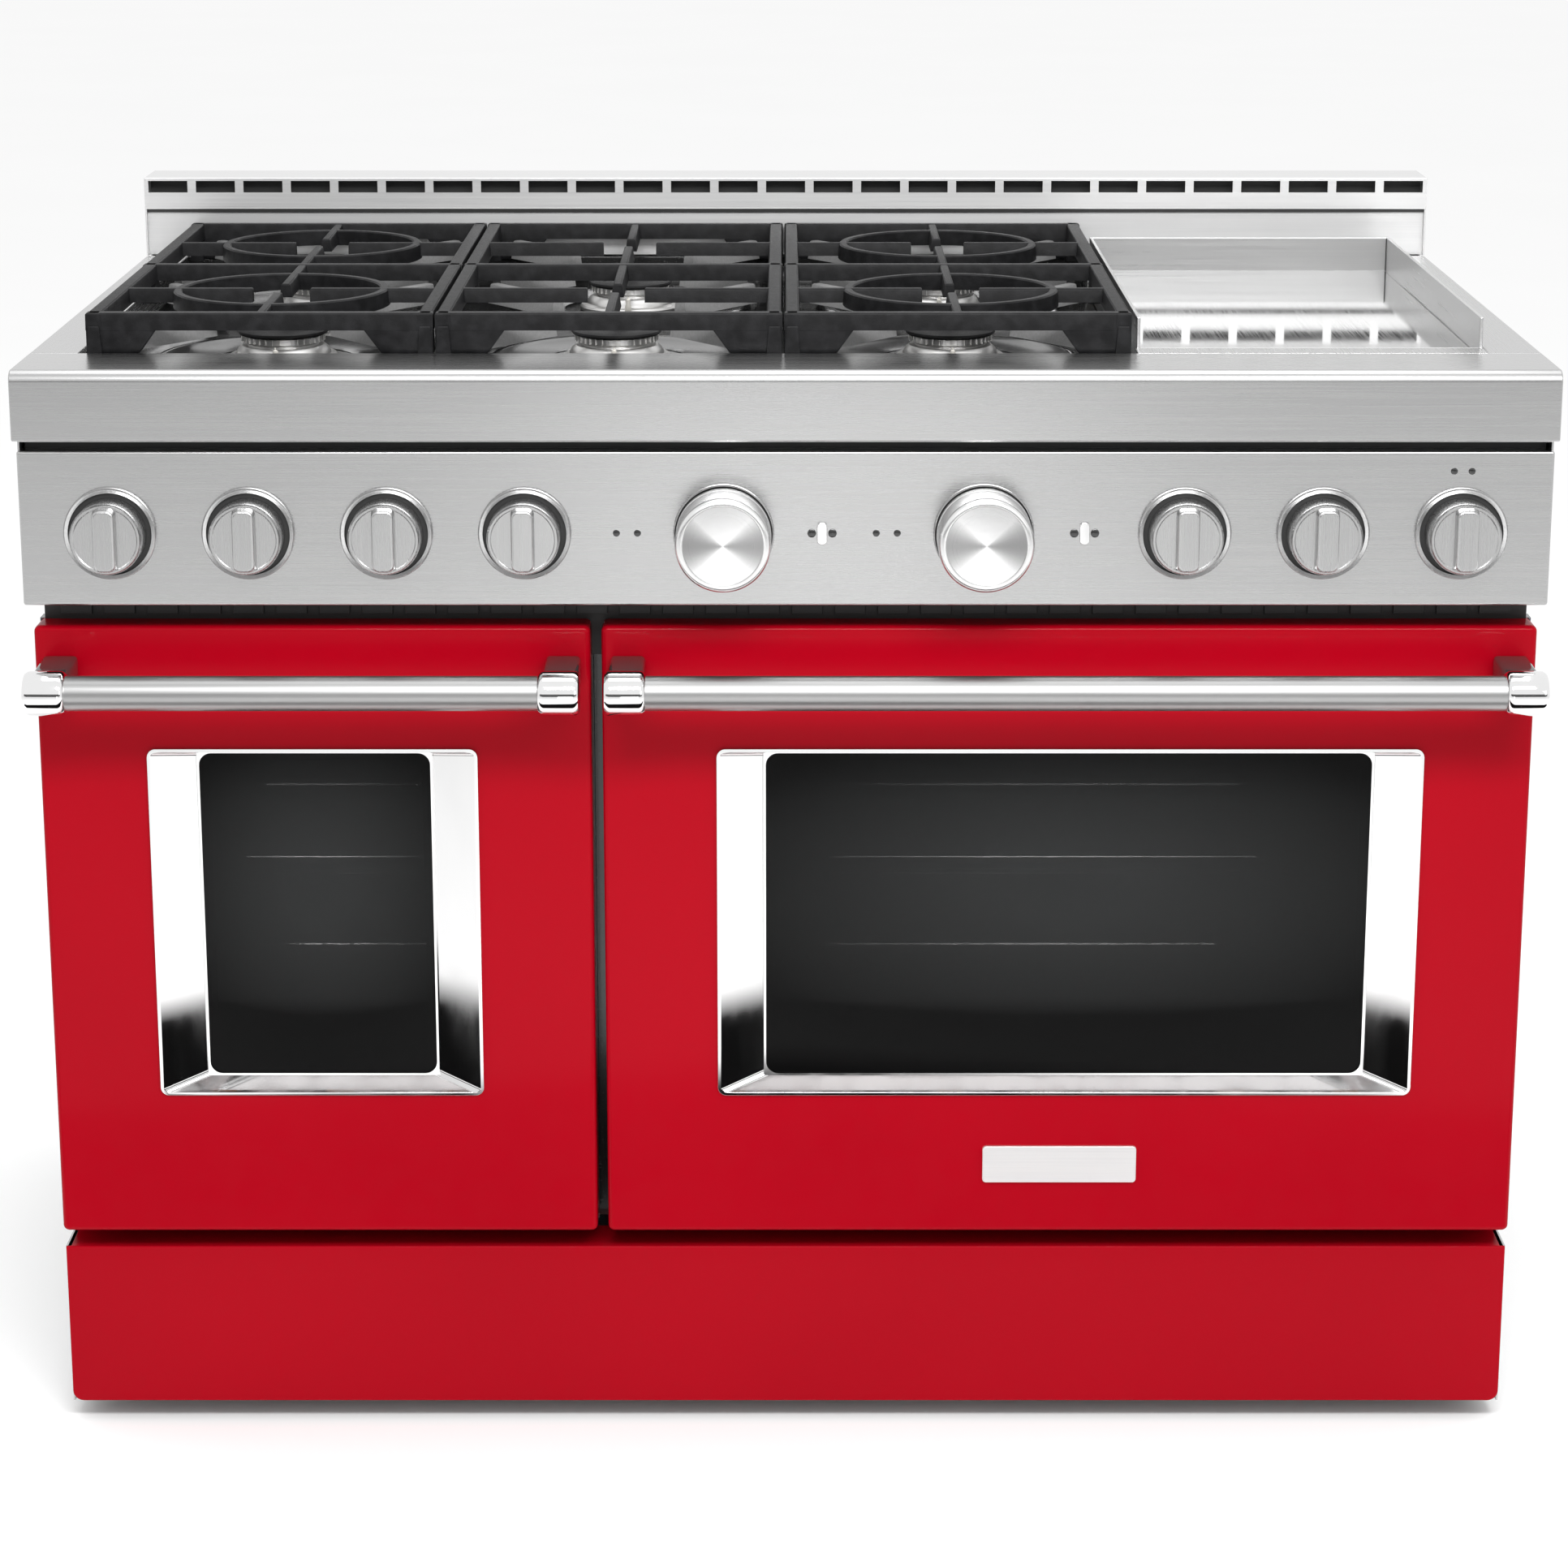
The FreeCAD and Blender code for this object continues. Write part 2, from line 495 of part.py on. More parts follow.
def back_guard():
    """A low hollow guard with a row of slots under its top edge."""
    body = doc.addObject("PartDesign::Body", "guard_sheet")
    wall = "dims.sheet"
    outer = rectangle(("at.guard_face", "at.rear"), ("dims.ledge_height", "at.guard_height"))
    inner = rectangle((f"at.guard_face + {wall}", f"at.rear - {wall}"),
                      (f"dims.ledge_height + {wall}", f"at.guard_height - {wall}"))
    pad(body, outline_sketch(body, "guard_outline", "YZ_Plane", [outer, inner], "-at.half"),
        "dims.wide")
    round_edges(body, lambda edge: along(edge, "X")
                and edge.CenterOfMass.z > value("guard_height") - 0.1
                and edge.CenterOfMass.y < value("guard_face") + 0.1, "dims.sheet * dims.guard_round")
    start = "-at.slot_pitch * (dims.slot_count - 1) / 2"
    high = "at.guard_height - dims.slot_drop"
    slot = rectangle((f"{start} - at.slot_wide / 2", f"{start} + at.slot_wide / 2"),
                     (f"{high} - dims.slot_tall", high))
    cutter = pocket(body, outline_sketch(body, "slot_outline", "XZ_Plane", [slot],
                                         f"-at.guard_face - {wall} - dims.over"),
                    f"{wall} + 2 * dims.over")
    row = body.newObject("PartDesign::LinearPattern", "slot_row")
    row.Originals = [cutter]
    row.Direction = (origin_of(body, "X_Axis"), [""])
    row.setExpression("Length", "at.slot_pitch * (dims.slot_count - 1)")
    row.setExpression("Occurrences", "dims.slot_count")
    body.Tip = row
    doc.recompute()
    caps = [make_box(f"guard_cap_{i}", x, (f"at.guard_face + {wall}", f"at.rear - {wall}"),
                     (f"dims.ledge_height + {wall}", f"at.guard_height - {wall}"))
            for i, x in enumerate((("-at.half", f"{wall} - at.half"),
                                   (f"at.half - {wall}", "at.half")))]
    return join("back_guard", [body] + caps)


# ---------------------------------------------------------------- ovens
def oven_liner(size):
    """Five enamelled sheets welded into a box that is open at the front."""
    wall = "dims.liner_wall"
    left, right = mouth(size, -1), mouth(size, 1)
    deep = ("at.oven_front", "at.oven_rear")
    tall = ("dims.oven_low", "at.oven_high")
    out_left, out_right = f"{left} - {wall}", f"{right} + {wall}"
    rear = make_box(f"{size}_rear_wall", (out_left, out_right),
                    ("at.oven_rear", f"at.oven_rear + {wall}"),
                    (f"{tall[0]} - {wall}", f"{tall[1]} + {wall}"))
    if size == "large":
        rear = cut("large_rear_wall_bored", rear, [make_rod(
            "shaft_hole", "Y", ("at.large_window_x", "at.oven_rear - 1", "at.fan_height"),
            "dims.shaft_radius + dims.shaft_clear", f"{wall} + 2")])
    walls = [make_box(f"{size}_oven_floor", (out_left, out_right), deep,
                      (f"{tall[0]} - {wall}", tall[0])),
             make_box(f"{size}_oven_ceiling", (out_left, out_right), deep,
                      (tall[1], f"{tall[1]} + {wall}")),
             make_box(f"{size}_oven_left", (out_left, left), deep, tall),
             make_box(f"{size}_oven_right", (right, out_right), deep, tall), rear]
    return group(f"{size}_oven_liner", walls)


def oven_insulation():
    """Mineral wool slabs over the top, the sides and the back of each liner."""
    slabs = []
    wall = "dims.liner_wall"
    for size in ("small", "large"):
        left, right = mouth(size, -1), mouth(size, 1)
        out_left, out_right = f"({left} - {wall})", f"({right} + {wall})"
        low, high = f"(dims.oven_low - {wall})", f"(at.oven_high + {wall})"
        deep = ("at.oven_front", f"at.oven_rear + {wall}")
        slabs += [
            make_box(f"{size}_wool_top", (out_left, out_right), deep, (high, f"{high} + dims.wool")),
            make_box(f"{size}_wool_left", (f"{out_left} - dims.wool", out_left), deep, (low, high)),
            make_box(f"{size}_wool_right", (out_right, f"{out_right} + dims.wool"), deep,
                     (low, high))]
        rear = make_box(f"{size}_wool_rear", (out_left, out_right),
                        (deep[1], f"{deep[1]} + dims.wool"), (low, high))
        if size == "large":
            rear = cut("large_wool_bored", rear, [make_rod(
                "wool_hole", "Y", ("at.large_window_x", "at.oven_rear", "at.fan_height"),
                "dims.shaft_radius + dims.shaft_clear", "dims.wool + 2 * dims.over")])
        slabs.append(rear)
    return group("oven_insulation", slabs)


def oven_rack(size, level):
    """A wire shelf: a square-bar frame with thin wires from front to back."""
    name = f"{size}_rack_{level}"
    bar = "dims.rack_bar"
    left = f"({mouth(size, -1)} + dims.rack_side_gap)"
    right = f"({mouth(size, 1)} - dims.rack_side_gap)"
    front = "(at.oven_front + dims.rack_front)"
    rear = f"({front} + at.rack_deep)"
    low = f"at.rack_{level}"
    tall = (low, f"{low} + {bar}")
    pieces = [make_box(name + "_left", (left, f"{left} + {bar}"), (front, rear), tall),
              make_box(name + "_right", (f"{right} - {bar}", right), (front, rear), tall),
              make_box(name + "_front", (f"{left} + {bar}", f"{right} - {bar}"),
                       (front, f"{front} + {bar}"), tall),
              make_box(name + "_rear", (f"{left} + {bar}", f"{right} - {bar}"),
                       (f"{rear} - {bar}", rear), tall)]
    span = value(f"{size}_oven_wide") - 2 * value("rack_side_gap") - 2 * value("rack_bar")
    count = int(span // value("rack_pitch"))
    for i in range(1, count + 1):
        middle = f"{left} + {bar} + (({right}) - ({left}) - 2 * {bar}) * {i} / {count + 1}"
        pieces.append(make_box(
            f"{name}_wire_{i}",
            (f"{middle} - dims.rack_wire / 2", f"{middle} + dims.rack_wire / 2"),
            (f"{front} + {bar}", f"{rear} - {bar}"),
            (f"{tall[1]} - dims.rack_wire", tall[1])))
    return join(name, pieces)


def rack_ladder(size, sign):
    """The side hanger of an oven: two posts and a rail under each rack level."""
    name = f"{size}_ladder_{'left' if sign < 0 else 'right'}"
    bar = "dims.ladder_bar"
    wall = mouth(size, sign)
    x = (wall, f"{wall} + {bar}") if sign < 0 else (f"{wall} - {bar}", wall)
    rail_x = (wall, f"{wall} + dims.rack_side_gap + {bar}")
    if sign > 0:
        rail_x = (f"{wall} - dims.rack_side_gap - {bar}", wall)
    front = "(at.oven_front + dims.ladder_front)"
    rear = f"({front} + at.rack_deep)"
    pieces = [make_box(f"{name}_post_{i}", x, (y, f"{y} + {bar}"),
                       ("at.rack_low - dims.ladder_below", "at.rack_high + dims.ladder_above"))
              for i, y in enumerate((front, f"({rear} - {bar})"))]
    for level in ("low", "high"):
        pieces.append(make_box(f"{name}_{level}", rail_x, (front, rear),
                               (f"at.rack_{level} - {bar}", f"at.rack_{level}")))
    return join(name, pieces)


def oven_racks():
    pieces = []
    for size in ("small", "large"):
        pieces += [oven_rack(size, "low"), oven_rack(size, "high")]
        pieces += [rack_ladder(size, -1), rack_ladder(size, 1)]
    return group("oven_racks", pieces)


def tube_burners():
    """Hollow bake burners under the ovens, and one under the griddle plate."""
    tubes = []
    spots = {"small": ("at.small_window_x", "at.oven_front + dims.tube_front",
                       "dims.oven_low - dims.tube_drop"),
             "large": ("at.large_window_x", "at.oven_front + dims.tube_front",
                       "dims.oven_low - dims.tube_drop"),
             "griddle": ("(at.griddle_low + at.griddle_high) / 2", "at.ledge_back + dims.tube_set",
                         "at.well_floor - dims.tube_radius - dims.tube_gap")}
    for name, start in spots.items():
        outer = make_rod(f"{name}_tube", "Y", start, "dims.tube_radius", "at.oven_deep - dims.tube_short")
        inner = make_rod(f"{name}_tube_bore", "Y", start, "dims.tube_bore",
                         "at.oven_deep - dims.tube_short - dims.tube_end")
        tubes.append(cut(f"{name}_tube_burner", outer, [inner]))
    return group("tube_burners", tubes)


def oven_lamps():
    lamps = []
    spots = {"small": "at.small_window_x + dims.lamp_aside",
             "left": "at.large_window_x - at.lamp_side",
             "right": "at.large_window_x + at.lamp_side"}
    for name, x in spots.items():
        lamps.append(make_rod(f"{name}_lamp", "Y", (x, "at.oven_rear - dims.lamp_deep",
                                                   "at.oven_high - dims.lamp_drop"),
                              "dims.lamp_radius", "dims.lamp_deep"))
    return group("oven_lamps", lamps)


def convection_fan():
    """A bladed wheel on a shaft that runs back to the motor."""
    x, z = "at.large_window_x", "at.fan_height"
    start = "(at.oven_rear - dims.fan_gap - dims.fan_deep)"
    hub = make_rod("fan_hub", "Y", (x, start, z), "dims.hub_radius", "dims.fan_deep")
    shaft = make_rod("fan_shaft", "Y", (x, start, z), "dims.shaft_radius",
                     "dims.fan_deep + 2 * dims.fan_gap + dims.liner_wall + dims.wool"
                     " + dims.motor_deep / 2")
    pieces = [hub, shaft]
    blades = 8
    for i in range(blades):
        blade = doc.addObject("Part::Box", f"fan_blade_{i}")
        angle = 360 / blades * i
        blade.Placement = FreeCAD.Placement(Vector(), FreeCAD.Rotation(Vector(0, 1, 0), angle))
        bind(blade, {"Length": "dims.fan_radius", "Width": "dims.fan_deep",
                     "Height": "dims.blade_thick", "Placement.Base.x": x,
                     "Placement.Base.y": start, "Placement.Base.z": z})
        pieces.append(blade)
    return join("convection_fan", pieces)


def fan_cover():
    """A drilled disc on four legs in front of the fan."""
    x, z = "at.large_window_x", "at.fan_height"
    disc = make_rod("cover_disc", "Y", (x, "at.fan_wall", z), "dims.cover_radius", "dims.sheet")
    holes = []
    for ring, count in (("dims.inner_ring", 6), ("dims.outer_ring", 12)):
        for i in range(count):
            angle = 360 / count * i
            holes.append(make_rod(
                f"cover_hole_{len(holes)}", "Y",
                (f"{x} + dims.cover_radius * {ring} * cos({angle})", "at.fan_wall - 1",
                 f"{z} + dims.cover_radius * {ring} * sin({angle})"), "dims.cover_hole", "dims.sheet + 2"))
    legs = []
    for i, (sx, sz) in enumerate(((-1, -1), (1, -1), (1, 1), (-1, 1))):
        cx = f"({x} + {sx} * dims.cover_radius * dims.leg_share)"
        cz = f"({z} + {sz} * dims.cover_radius * dims.leg_share)"
        legs.append(make_box(f"cover_leg_{i}", (f"{cx} - dims.leg_half", f"{cx} + dims.leg_half"),
                             ("at.fan_wall + dims.sheet", "at.oven_rear"),
                             (f"{cz} - dims.leg_half", f"{cz} + dims.leg_half")))
    return join("fan_cover", [cut("cover_drilled", disc, holes)] + legs)


def fan_motor():
    x, z = "at.large_window_x", "at.fan_height"
    start = "(at.oven_rear + dims.liner_wall + dims.wool + dims.fan_gap)"
    can = make_rod("motor_can", "Y", (x, start, z), "dims.motor_radius", "dims.motor_deep")
    bore = make_rod("motor_bore", "Y", (x, f"{start} - 1", z),
                    "dims.shaft_radius + dims.running", "dims.motor_deep / 2 + dims.bore_spare")
    return cut("fan_motor", can, [bore])


def door_gaskets():
    """A rope seal around each oven mouth, on the front frame."""
    seals = []
    deep = ("at.door_back + dims.curved_gap", "at.frame_face")
    for size in ("small", "large"):
        left, right = mouth(size, -1), mouth(size, 1)
        inset = "dims.gasket_in"
        reach = "(dims.gasket_in + dims.gasket_wide)"
        outer = make_box(f"{size}_seal_outer", (f"{left} - {reach}", f"{right} + {reach}"), deep,
                         (f"dims.oven_low - {inset} / 2 - dims.gasket_wide / 2",
                          f"at.oven_high + {reach}"))
        inner = make_box(f"{size}_seal_inner", (f"{left} - {inset}", f"{right} + {inset}"),
                         (f"{deep[0]} - 1", f"{deep[1]} + 1"),
                         ("dims.oven_low", f"at.oven_high + {inset}"))
        seals.append(cut(f"{size}_seal", outer, [inner]))
    return group("door_gaskets", seals)


# ---------------------------------------------------------------- doors
doors = {"left": ("left_low", "left_high", "small"), "right": ("right_low", "right_high", "large")}


def hinge_spots(side):
    """The X of the two hinges of a door."""
    low, high, _ = doors[side]
    return (f"(at.{low} + dims.hinge_in)", f"(at.{high} - dims.hinge_in)")


def hinge_notches(side, name):
    """The slots in a door that its hinge arms swing through."""
    half = "(dims.arm_thick / 2 + dims.notch_gap)"
    return [make_box(f"{side}_{name}_{i}", (f"{x} - {half}", f"{x} + {half}"),
                     ("at.pivot_y - dims.eye_radius - 1", "at.door_back + 1"),
                     ("dims.door_bottom - 1", "at.pivot_z + dims.eye_radius + 1"))
            for i, x in enumerate(hinge_spots(side))]


def hinge_brackets():
    """Arms on the front frame, each with an eye and a fixed pivot pin."""
    brackets = []
    for side in doors:
        for i, x in enumerate(hinge_spots(side)):
            name = f"{side}_hinge_{i}"
            edge = f"{x} - dims.arm_thick / 2"
            arm = make_box(name + "_arm", (edge, f"{edge} + dims.arm_thick"),
                           ("at.pivot_y", "at.frame_face"),
                           ("at.pivot_z - dims.arm_half", "at.pivot_z + dims.arm_half"))
            eye = make_rod(name + "_eye", "X", (edge, "at.pivot_y", "at.pivot_z"),
                           "dims.eye_radius", "dims.arm_thick")
            pin = make_rod(name + "_pin", "X", (f"{x} - dims.pin_reach", "at.pivot_y",
                                                "at.pivot_z"),
                           "dims.pin_radius", "2 * dims.pin_reach")
            brackets.append(join(name, [arm, eye, pin]))
    return group("hinge_brackets", brackets)


def bezel_edges(size):
    half = f"at.{size}_bezel_wide / 2"
    return f"(at.{size}_window_x - {half})", f"(at.{size}_window_x + {half})"


def door_skin(side):
    """The outer door sheet: a shallow tray with rounded edges and a window opening."""
    low, high, size = doors[side]
    name = f"{side}_door_skin"
    body = doc.addObject("PartDesign::Body", name + "_body")
    x = (f"at.{low}", f"at.{high}")
    z = ("dims.door_bottom", "at.door_top")
    pad(body, outline_sketch(body, name + "_outline", "XZ_Plane", [rectangle(x, z)],
                             "-at.door_front"), "dims.skin_deep", True)
    front = value("door_front")
    round_edges(body, lambda edge: along(edge, "Y"), "dims.door_round", "corners")
    round_edges(body, lambda edge: abs(edge.BoundBox.YMin - front) < 0.01
                and abs(edge.BoundBox.YMax - front) < 0.01, "dims.door_round * dims.lip_share", "lips")
    wall = "dims.sheet"
    hollow = rectangle((f"{x[0]} + {wall}", f"{x[1]} - {wall}"),
                       (f"{z[0]} + {wall}", f"{z[1]} - {wall}"))
    hollow_sketch = outline_sketch(body, name + "_hollow", "XZ_Plane", [hollow], "-at.skin_back")
    pocket(body, hollow_sketch, "dims.skin_deep - dims.sheet * 2", "hollow")
    edges = bezel_edges(size)
    gap = "dims.fold_gap"
    window = rectangle((f"{edges[0]} - {gap}", f"{edges[1]} + {gap}"),
                       (f"dims.bezel_low - {gap}", f"at.bezel_high + {gap}"))
    window_sketch = outline_sketch(body, name + "_window", "XZ_Plane", [window],
                                   "-at.skin_back")
    pocket(body, window_sketch, "dims.skin_deep + dims.over", "window")
    return cut(name, body, hinge_notches(side, "skin_notch"))


def door_liner(side):
    """The inner door panel, a tray that carries the hinge blocks."""
    low, high, size = doors[side]
    name = f"{side}_door_liner"
    x = (f"at.{low}", f"at.{high}")
    z = ("dims.door_bottom", "at.door_top")
    wall = "dims.sheet"
    tray = make_box(name + "_tray", x, ("at.skin_back", "at.door_back"), z)
    hollow = make_box(name + "_hollow", (f"{x[0]} + {wall}", f"{x[1]} - {wall}"),
                      ("at.skin_back - 1", f"at.door_back - {wall}"),
                      (f"{z[0]} + {wall}", f"{z[1]} - {wall}"))
    edges = bezel_edges(size)
    lap = "(dims.glass_lap + dims.fold_gap)"
    window = make_box(name + "_window", (f"{edges[0]} + dims.bezel_side - {lap}",
                                         f"{edges[1]} - dims.bezel_side + {lap}"),
                      ("at.skin_back", "at.door_back + 1"),
                      (f"at.glass_low - {lap}", f"at.glass_high + {lap}"))
    shell = cut(name + "_shell", tray, [hollow, window])
    blocks = [make_box(f"{name}_block_{i}", (f"{hx} - dims.block_half", f"{hx} + dims.block_half"),
                       ("at.pivot_y - dims.eye_radius - dims.block_front",
                        f"at.door_back - {wall} / 2"),
                       (f"dims.door_bottom + {wall}", "at.pivot_z + dims.eye_radius + dims.block_above"))
              for i, hx in enumerate(hinge_spots(side))]
    bores = [make_rod(f"{name}_bore_{i}", "X", (f"{hx} - dims.pin_reach - 1", "at.pivot_y",
                                                "at.pivot_z"),
                      "dims.pin_radius + dims.running", "2 * dims.pin_reach + 2")
             for i, hx in enumerate(hinge_spots(side))]
    return cut(name, join(name + "_body", [shell] + blocks),
               hinge_notches(side, "liner_notch") + bores)


def window_bezel(side):
    """A proud frame whose faces slope back to the glass."""
    size = doors[side][2]
    name = f"{side}_window_bezel"
    edges = bezel_edges(size)
    front = "(at.door_front - dims.bezel_proud)"
    frame = make_box(name + "_frame", edges, (front, "at.bezel_back"),
                     ("dims.bezel_low", "at.bezel_high"))
    slope = doc.addObject("Part::Wedge", name + "_slope")
    lip = "dims.bezel_lip"
    over = 1
    bind(slope, {"Xmin": f"{edges[0]} + {lip}", "Xmax": f"{edges[1]} - {lip}",
                 "X2min": f"{edges[0]} + dims.bezel_side", "X2max": f"{edges[1]} - dims.bezel_side",
                 "Zmin": f"dims.bezel_low + {lip}", "Zmax": f"at.bezel_high - {lip}",
                 "Z2min": "at.glass_low", "Z2max": "at.glass_high",
                 "Ymin": f"{front} - {over}", "Ymax": f"at.bezel_back + {over}"})
    return cut(name, frame, [slope])


def window_glass(side):
    """The outer pane behind the bezel and the inner pane in the door liner."""
    size = doors[side][2]
    name = f"{side}_window_glass"
    edges = bezel_edges(size)
    inset = "dims.bezel_side - dims.glass_lap"
    x = (f"{edges[0]} + {inset}", f"{edges[1]} - ({inset})")
    z = ("at.glass_low - dims.glass_lap", "at.glass_high + dims.glass_lap")
    outer = make_box(name + "_outer", x, ("at.bezel_back", "at.bezel_back + dims.glass_thick"),
                     ("at.glass_low - dims.bezel_head", "at.glass_high + dims.bezel_head"))
    inner = make_box(name + "_inner", x, ("at.door_back - dims.glass_thick", "at.door_back"), z)
    return group(name, [outer, inner])


def handle_ends(side):
    low, high, _ = doors[side]
    return f"(at.{low} + dims.handle_end)", f"(at.{high} - dims.handle_end)"


def handle_bar(side):
    left, right = handle_ends(side)
    return make_rod(f"{side}_handle_bar", "X",
                    (f"{left} + dims.cap_long", "at.handle_y", "at.handle_height"),
                    "dims.bar_radius", f"{right} - {left} - 2 * dims.cap_long")


def handle_mounts(side):
    """End caps around the bar's axis, each on a post that stands on the door."""
    mounts = []
    left, right = handle_ends(side)
    for i, start in enumerate((left, f"({right} - dims.cap_long)")):
        name = f"{side}_mount_{i}"
        body = doc.addObject("PartDesign::Body", name + "_cap")
        outline = [("0", "0"), ("dims.cap_radius", "0"), ("dims.cap_radius", "dims.cap_long"),
                   ("0", "dims.cap_long")]
        sketch = outline_sketch(body, name + "_outline", "XY_Plane", [outline])
        turn = body.newObject("PartDesign::Revolution", name + "_turn")
        turn.Profile = sketch
        turn.ReferenceAxis = (sketch, ["V_Axis"])
        turn.Angle = 360
        doc.recompute()
        round_edges(body, lambda edge: edge.Curve.TypeId == "Part::GeomCircle", "dims.cap_round")
        body.Placement = FreeCAD.Placement(Vector(), FreeCAD.Rotation(Vector(0, 0, 1), -90))
        place(body, start, "at.handle_y", "at.handle_height")
        post = make_rod(name + "_post", "Y", (f"{start} + dims.cap_long / 2", "at.handle_y",
                                              "at.handle_height"),
                        "dims.post_radius", "dims.handle_reach")
        mounts.append(join(name, [body, post]))
    return group(f"{side}_handle_mounts", mounts)


def badge_plate():
    body = doc.addObject("PartDesign::Body", "badge_plate")
    x = ("dims.badge_x - dims.badge_wide / 2", "dims.badge_x + dims.badge_wide / 2")
    z = ("dims.badge_z - dims.badge_tall / 2", "dims.badge_z + dims.badge_tall / 2")
    pad(body, outline_sketch(body, "badge_outline", "XZ_Plane", [rectangle(x, z)],
                             "-at.door_front"), "dims.badge_thick")
    round_edges(body, lambda edge: along(edge, "Y"), "dims.badge_thick", "corners")
    return body


# ---------------------------------------------------------------- cooktop
def burner_spots():
    """The centres of the six open burners."""
    spots = []
    for column in range(3):
        x = f"(at.grate_low + at.grate_wide * {column + 0.5})"
        for row in ("front_row", "rear_row"):
            spots.append((x, f"at.{row}"))
    return spots


def burner_bases():
    """A flared aluminium base with a ported head on top, one per burner."""
    bases = []
    for i, (x, y) in enumerate(burner_spots()):
        disc = make_rod(f"burner_disc_{i}", "Z", (x, y, "at.pan_high"),
                        "dims.base_radius", "dims.base_rim")
        cone = doc.addObject("Part::Cone", f"burner_cone_{i}")
        bind(cone, {"Placement.Base.x": x, "Placement.Base.y": y,
                    "Placement.Base.z": "at.pan_high + dims.base_rim", "Radius1": "dims.base_radius",
                    "Radius2": "dims.head_radius", "Height": "dims.base_tall - dims.base_rim"})
        head = make_rod(f"burner_head_{i}", "Z", (x, y, "at.pan_high"), "dims.head_radius",
                        "dims.head_tall")
        bases.append(join(f"burner_base_{i}", [disc, cone, head]))
    return group("burner_bases", bases)


def burner_caps():
    caps = [make_rod(f"burner_cap_{i}", "Z", (x, y, "at.burner_top"), "dims.burner_cap_radius",
                     "dims.cap_tall") for i, (x, y) in enumerate(burner_spots())]
    return group("burner_caps", caps)


def burner_igniters():
    posts = [make_rod(f"igniter_{i}", "Z", (x, f"{y} - dims.base_radius - dims.igniter_gap", "at.pan_high"),
                      "dims.igniter_radius", "dims.igniter_tall")
             for i, (x, y) in enumerate(burner_spots())]
    return group("burner_igniters", posts)


def grate(name, column, ringed):
    """A cast section over two burners: frame, middle bar, feet, fingers and, outside, rings."""
    bar = "dims.grate_bar"
    x0 = f"(at.grate_low + at.grate_wide * {column} + dims.grate_gap / 2)"
    x1 = f"(at.grate_low + at.grate_wide * {column + 1} - dims.grate_gap / 2)"
    y0, y1 = "(at.front + dims.grate_front)", "(at.front + at.grate_rear)"
    middle = "(at.front + at.grate_mid)"
    rail = ("at.rail_foot", "at.grate_top")
    full = ("at.grate_rest", "at.grate_top")
    cx = f"(({x0} + {x1}) / 2)"
    pieces = [make_box(name + "_left_rail", (x0, f"{x0} + {bar}"), (y0, y1), rail),
              make_box(name + "_right_rail", (f"{x1} - {bar}", x1), (y0, y1), rail),
              make_box(name + "_middle_rail", (f"{x0} + {bar}", f"{x1} - {bar}"),
                       (f"{middle} - {bar} / 2", f"{middle} + {bar} / 2"), rail)]
    for end, y in (("front", (y0, f"{y0} + {bar}")), ("rear", (f"{y1} - {bar}", y1))):
        face = make_box(f"{name}_{end}_face", (x0, x1), y, full)
        arch = make_box(f"{name}_{end}_arch", (f"{x0} + dims.arch_in", f"{x1} - dims.arch_in"),
                        (f"{y[0]} - 1", f"{y[1]} + 1"), (f"{full[0]} - 1", rail[0]))
        pieces.append(cut(f"{name}_{end}_rail", face, [arch]))
    for side, x in (("left", (x0, f"{x0} + {bar}")), ("right", (f"{x1} - {bar}", x1))):
        pieces.append(make_box(f"{name}_{side}_foot", x, (f"{middle} - {bar}", f"{middle} + {bar}"),
                               (full[0], rail[0])))
    for row in ("front_row", "rear_row"):
        cy = f"at.{row}"
        half = f"{bar} / 2 * dims.finger_share"
        near = y0 if row == "front_row" else middle
        far = middle if row == "front_row" else y1
        stop = "dims.finger_stop"
        pieces += [
            make_box(f"{name}_{row}_west", (x0, f"{cx} - {stop}"),
                     (f"{cy} - {half}", f"{cy} + {half}"), rail),
            make_box(f"{name}_{row}_east", (f"{cx} + {stop}", x1),
                     (f"{cy} - {half}", f"{cy} + {half}"), rail),
            make_box(f"{name}_{row}_south", (f"{cx} - {half}", f"{cx} + {half}"),
                     (f"{near} + 1", f"{cy} - {stop}"), rail),
            make_box(f"{name}_{row}_north", (f"{cx} - {half}", f"{cx} + {half}"),
                     (f"{cy} + {stop}", f"{far} - 1"), rail)]
        if ringed:
            outer = make_rod(f"{name}_{row}_ring_outer", "Z", (cx, cy, rail[0]),
                             "dims.ring_radius", "dims.rail_tall - 2")
            inner = make_rod(f"{name}_{row}_ring_inner", "Z", (cx, cy, f"{rail[0]} - 1"),
                             "dims.ring_radius - dims.ring_thick", "dims.rail_tall + 2")
            pieces.append(cut(f"{name}_{row}_ring", outer, [inner]))
    return join(name, pieces)


def griddle_surround():
    """Four walls around the griddle plate and its grease trough."""
    x = ("at.griddle_low", "at.griddle_high")
    y = ("at.griddle_y0", "at.griddle_y1")
    wall = "dims.plate"
    tall = ("at.pan_high", "at.griddle_top")
    walls = [make_box("griddle_left", (x[0], f"{x[0]} + {wall}"), y, tall),
             make_box("griddle_right", (f"{x[1]} - {wall}", x[1]), y, tall),
             make_box("griddle_rear", (f"{x[0]} + {wall}", f"{x[1]} - {wall}"),
                      (f"{y[1]} - {wall}", y[1]), tall),
             make_box("griddle_lip", (f"{x[0]} + {wall}", f"{x[1]} - {wall}"),
                      (y[0], f"{y[0]} + {wall}"), (tall[0], "dims.ledge_height"))]
    return group("griddle_surround", walls)


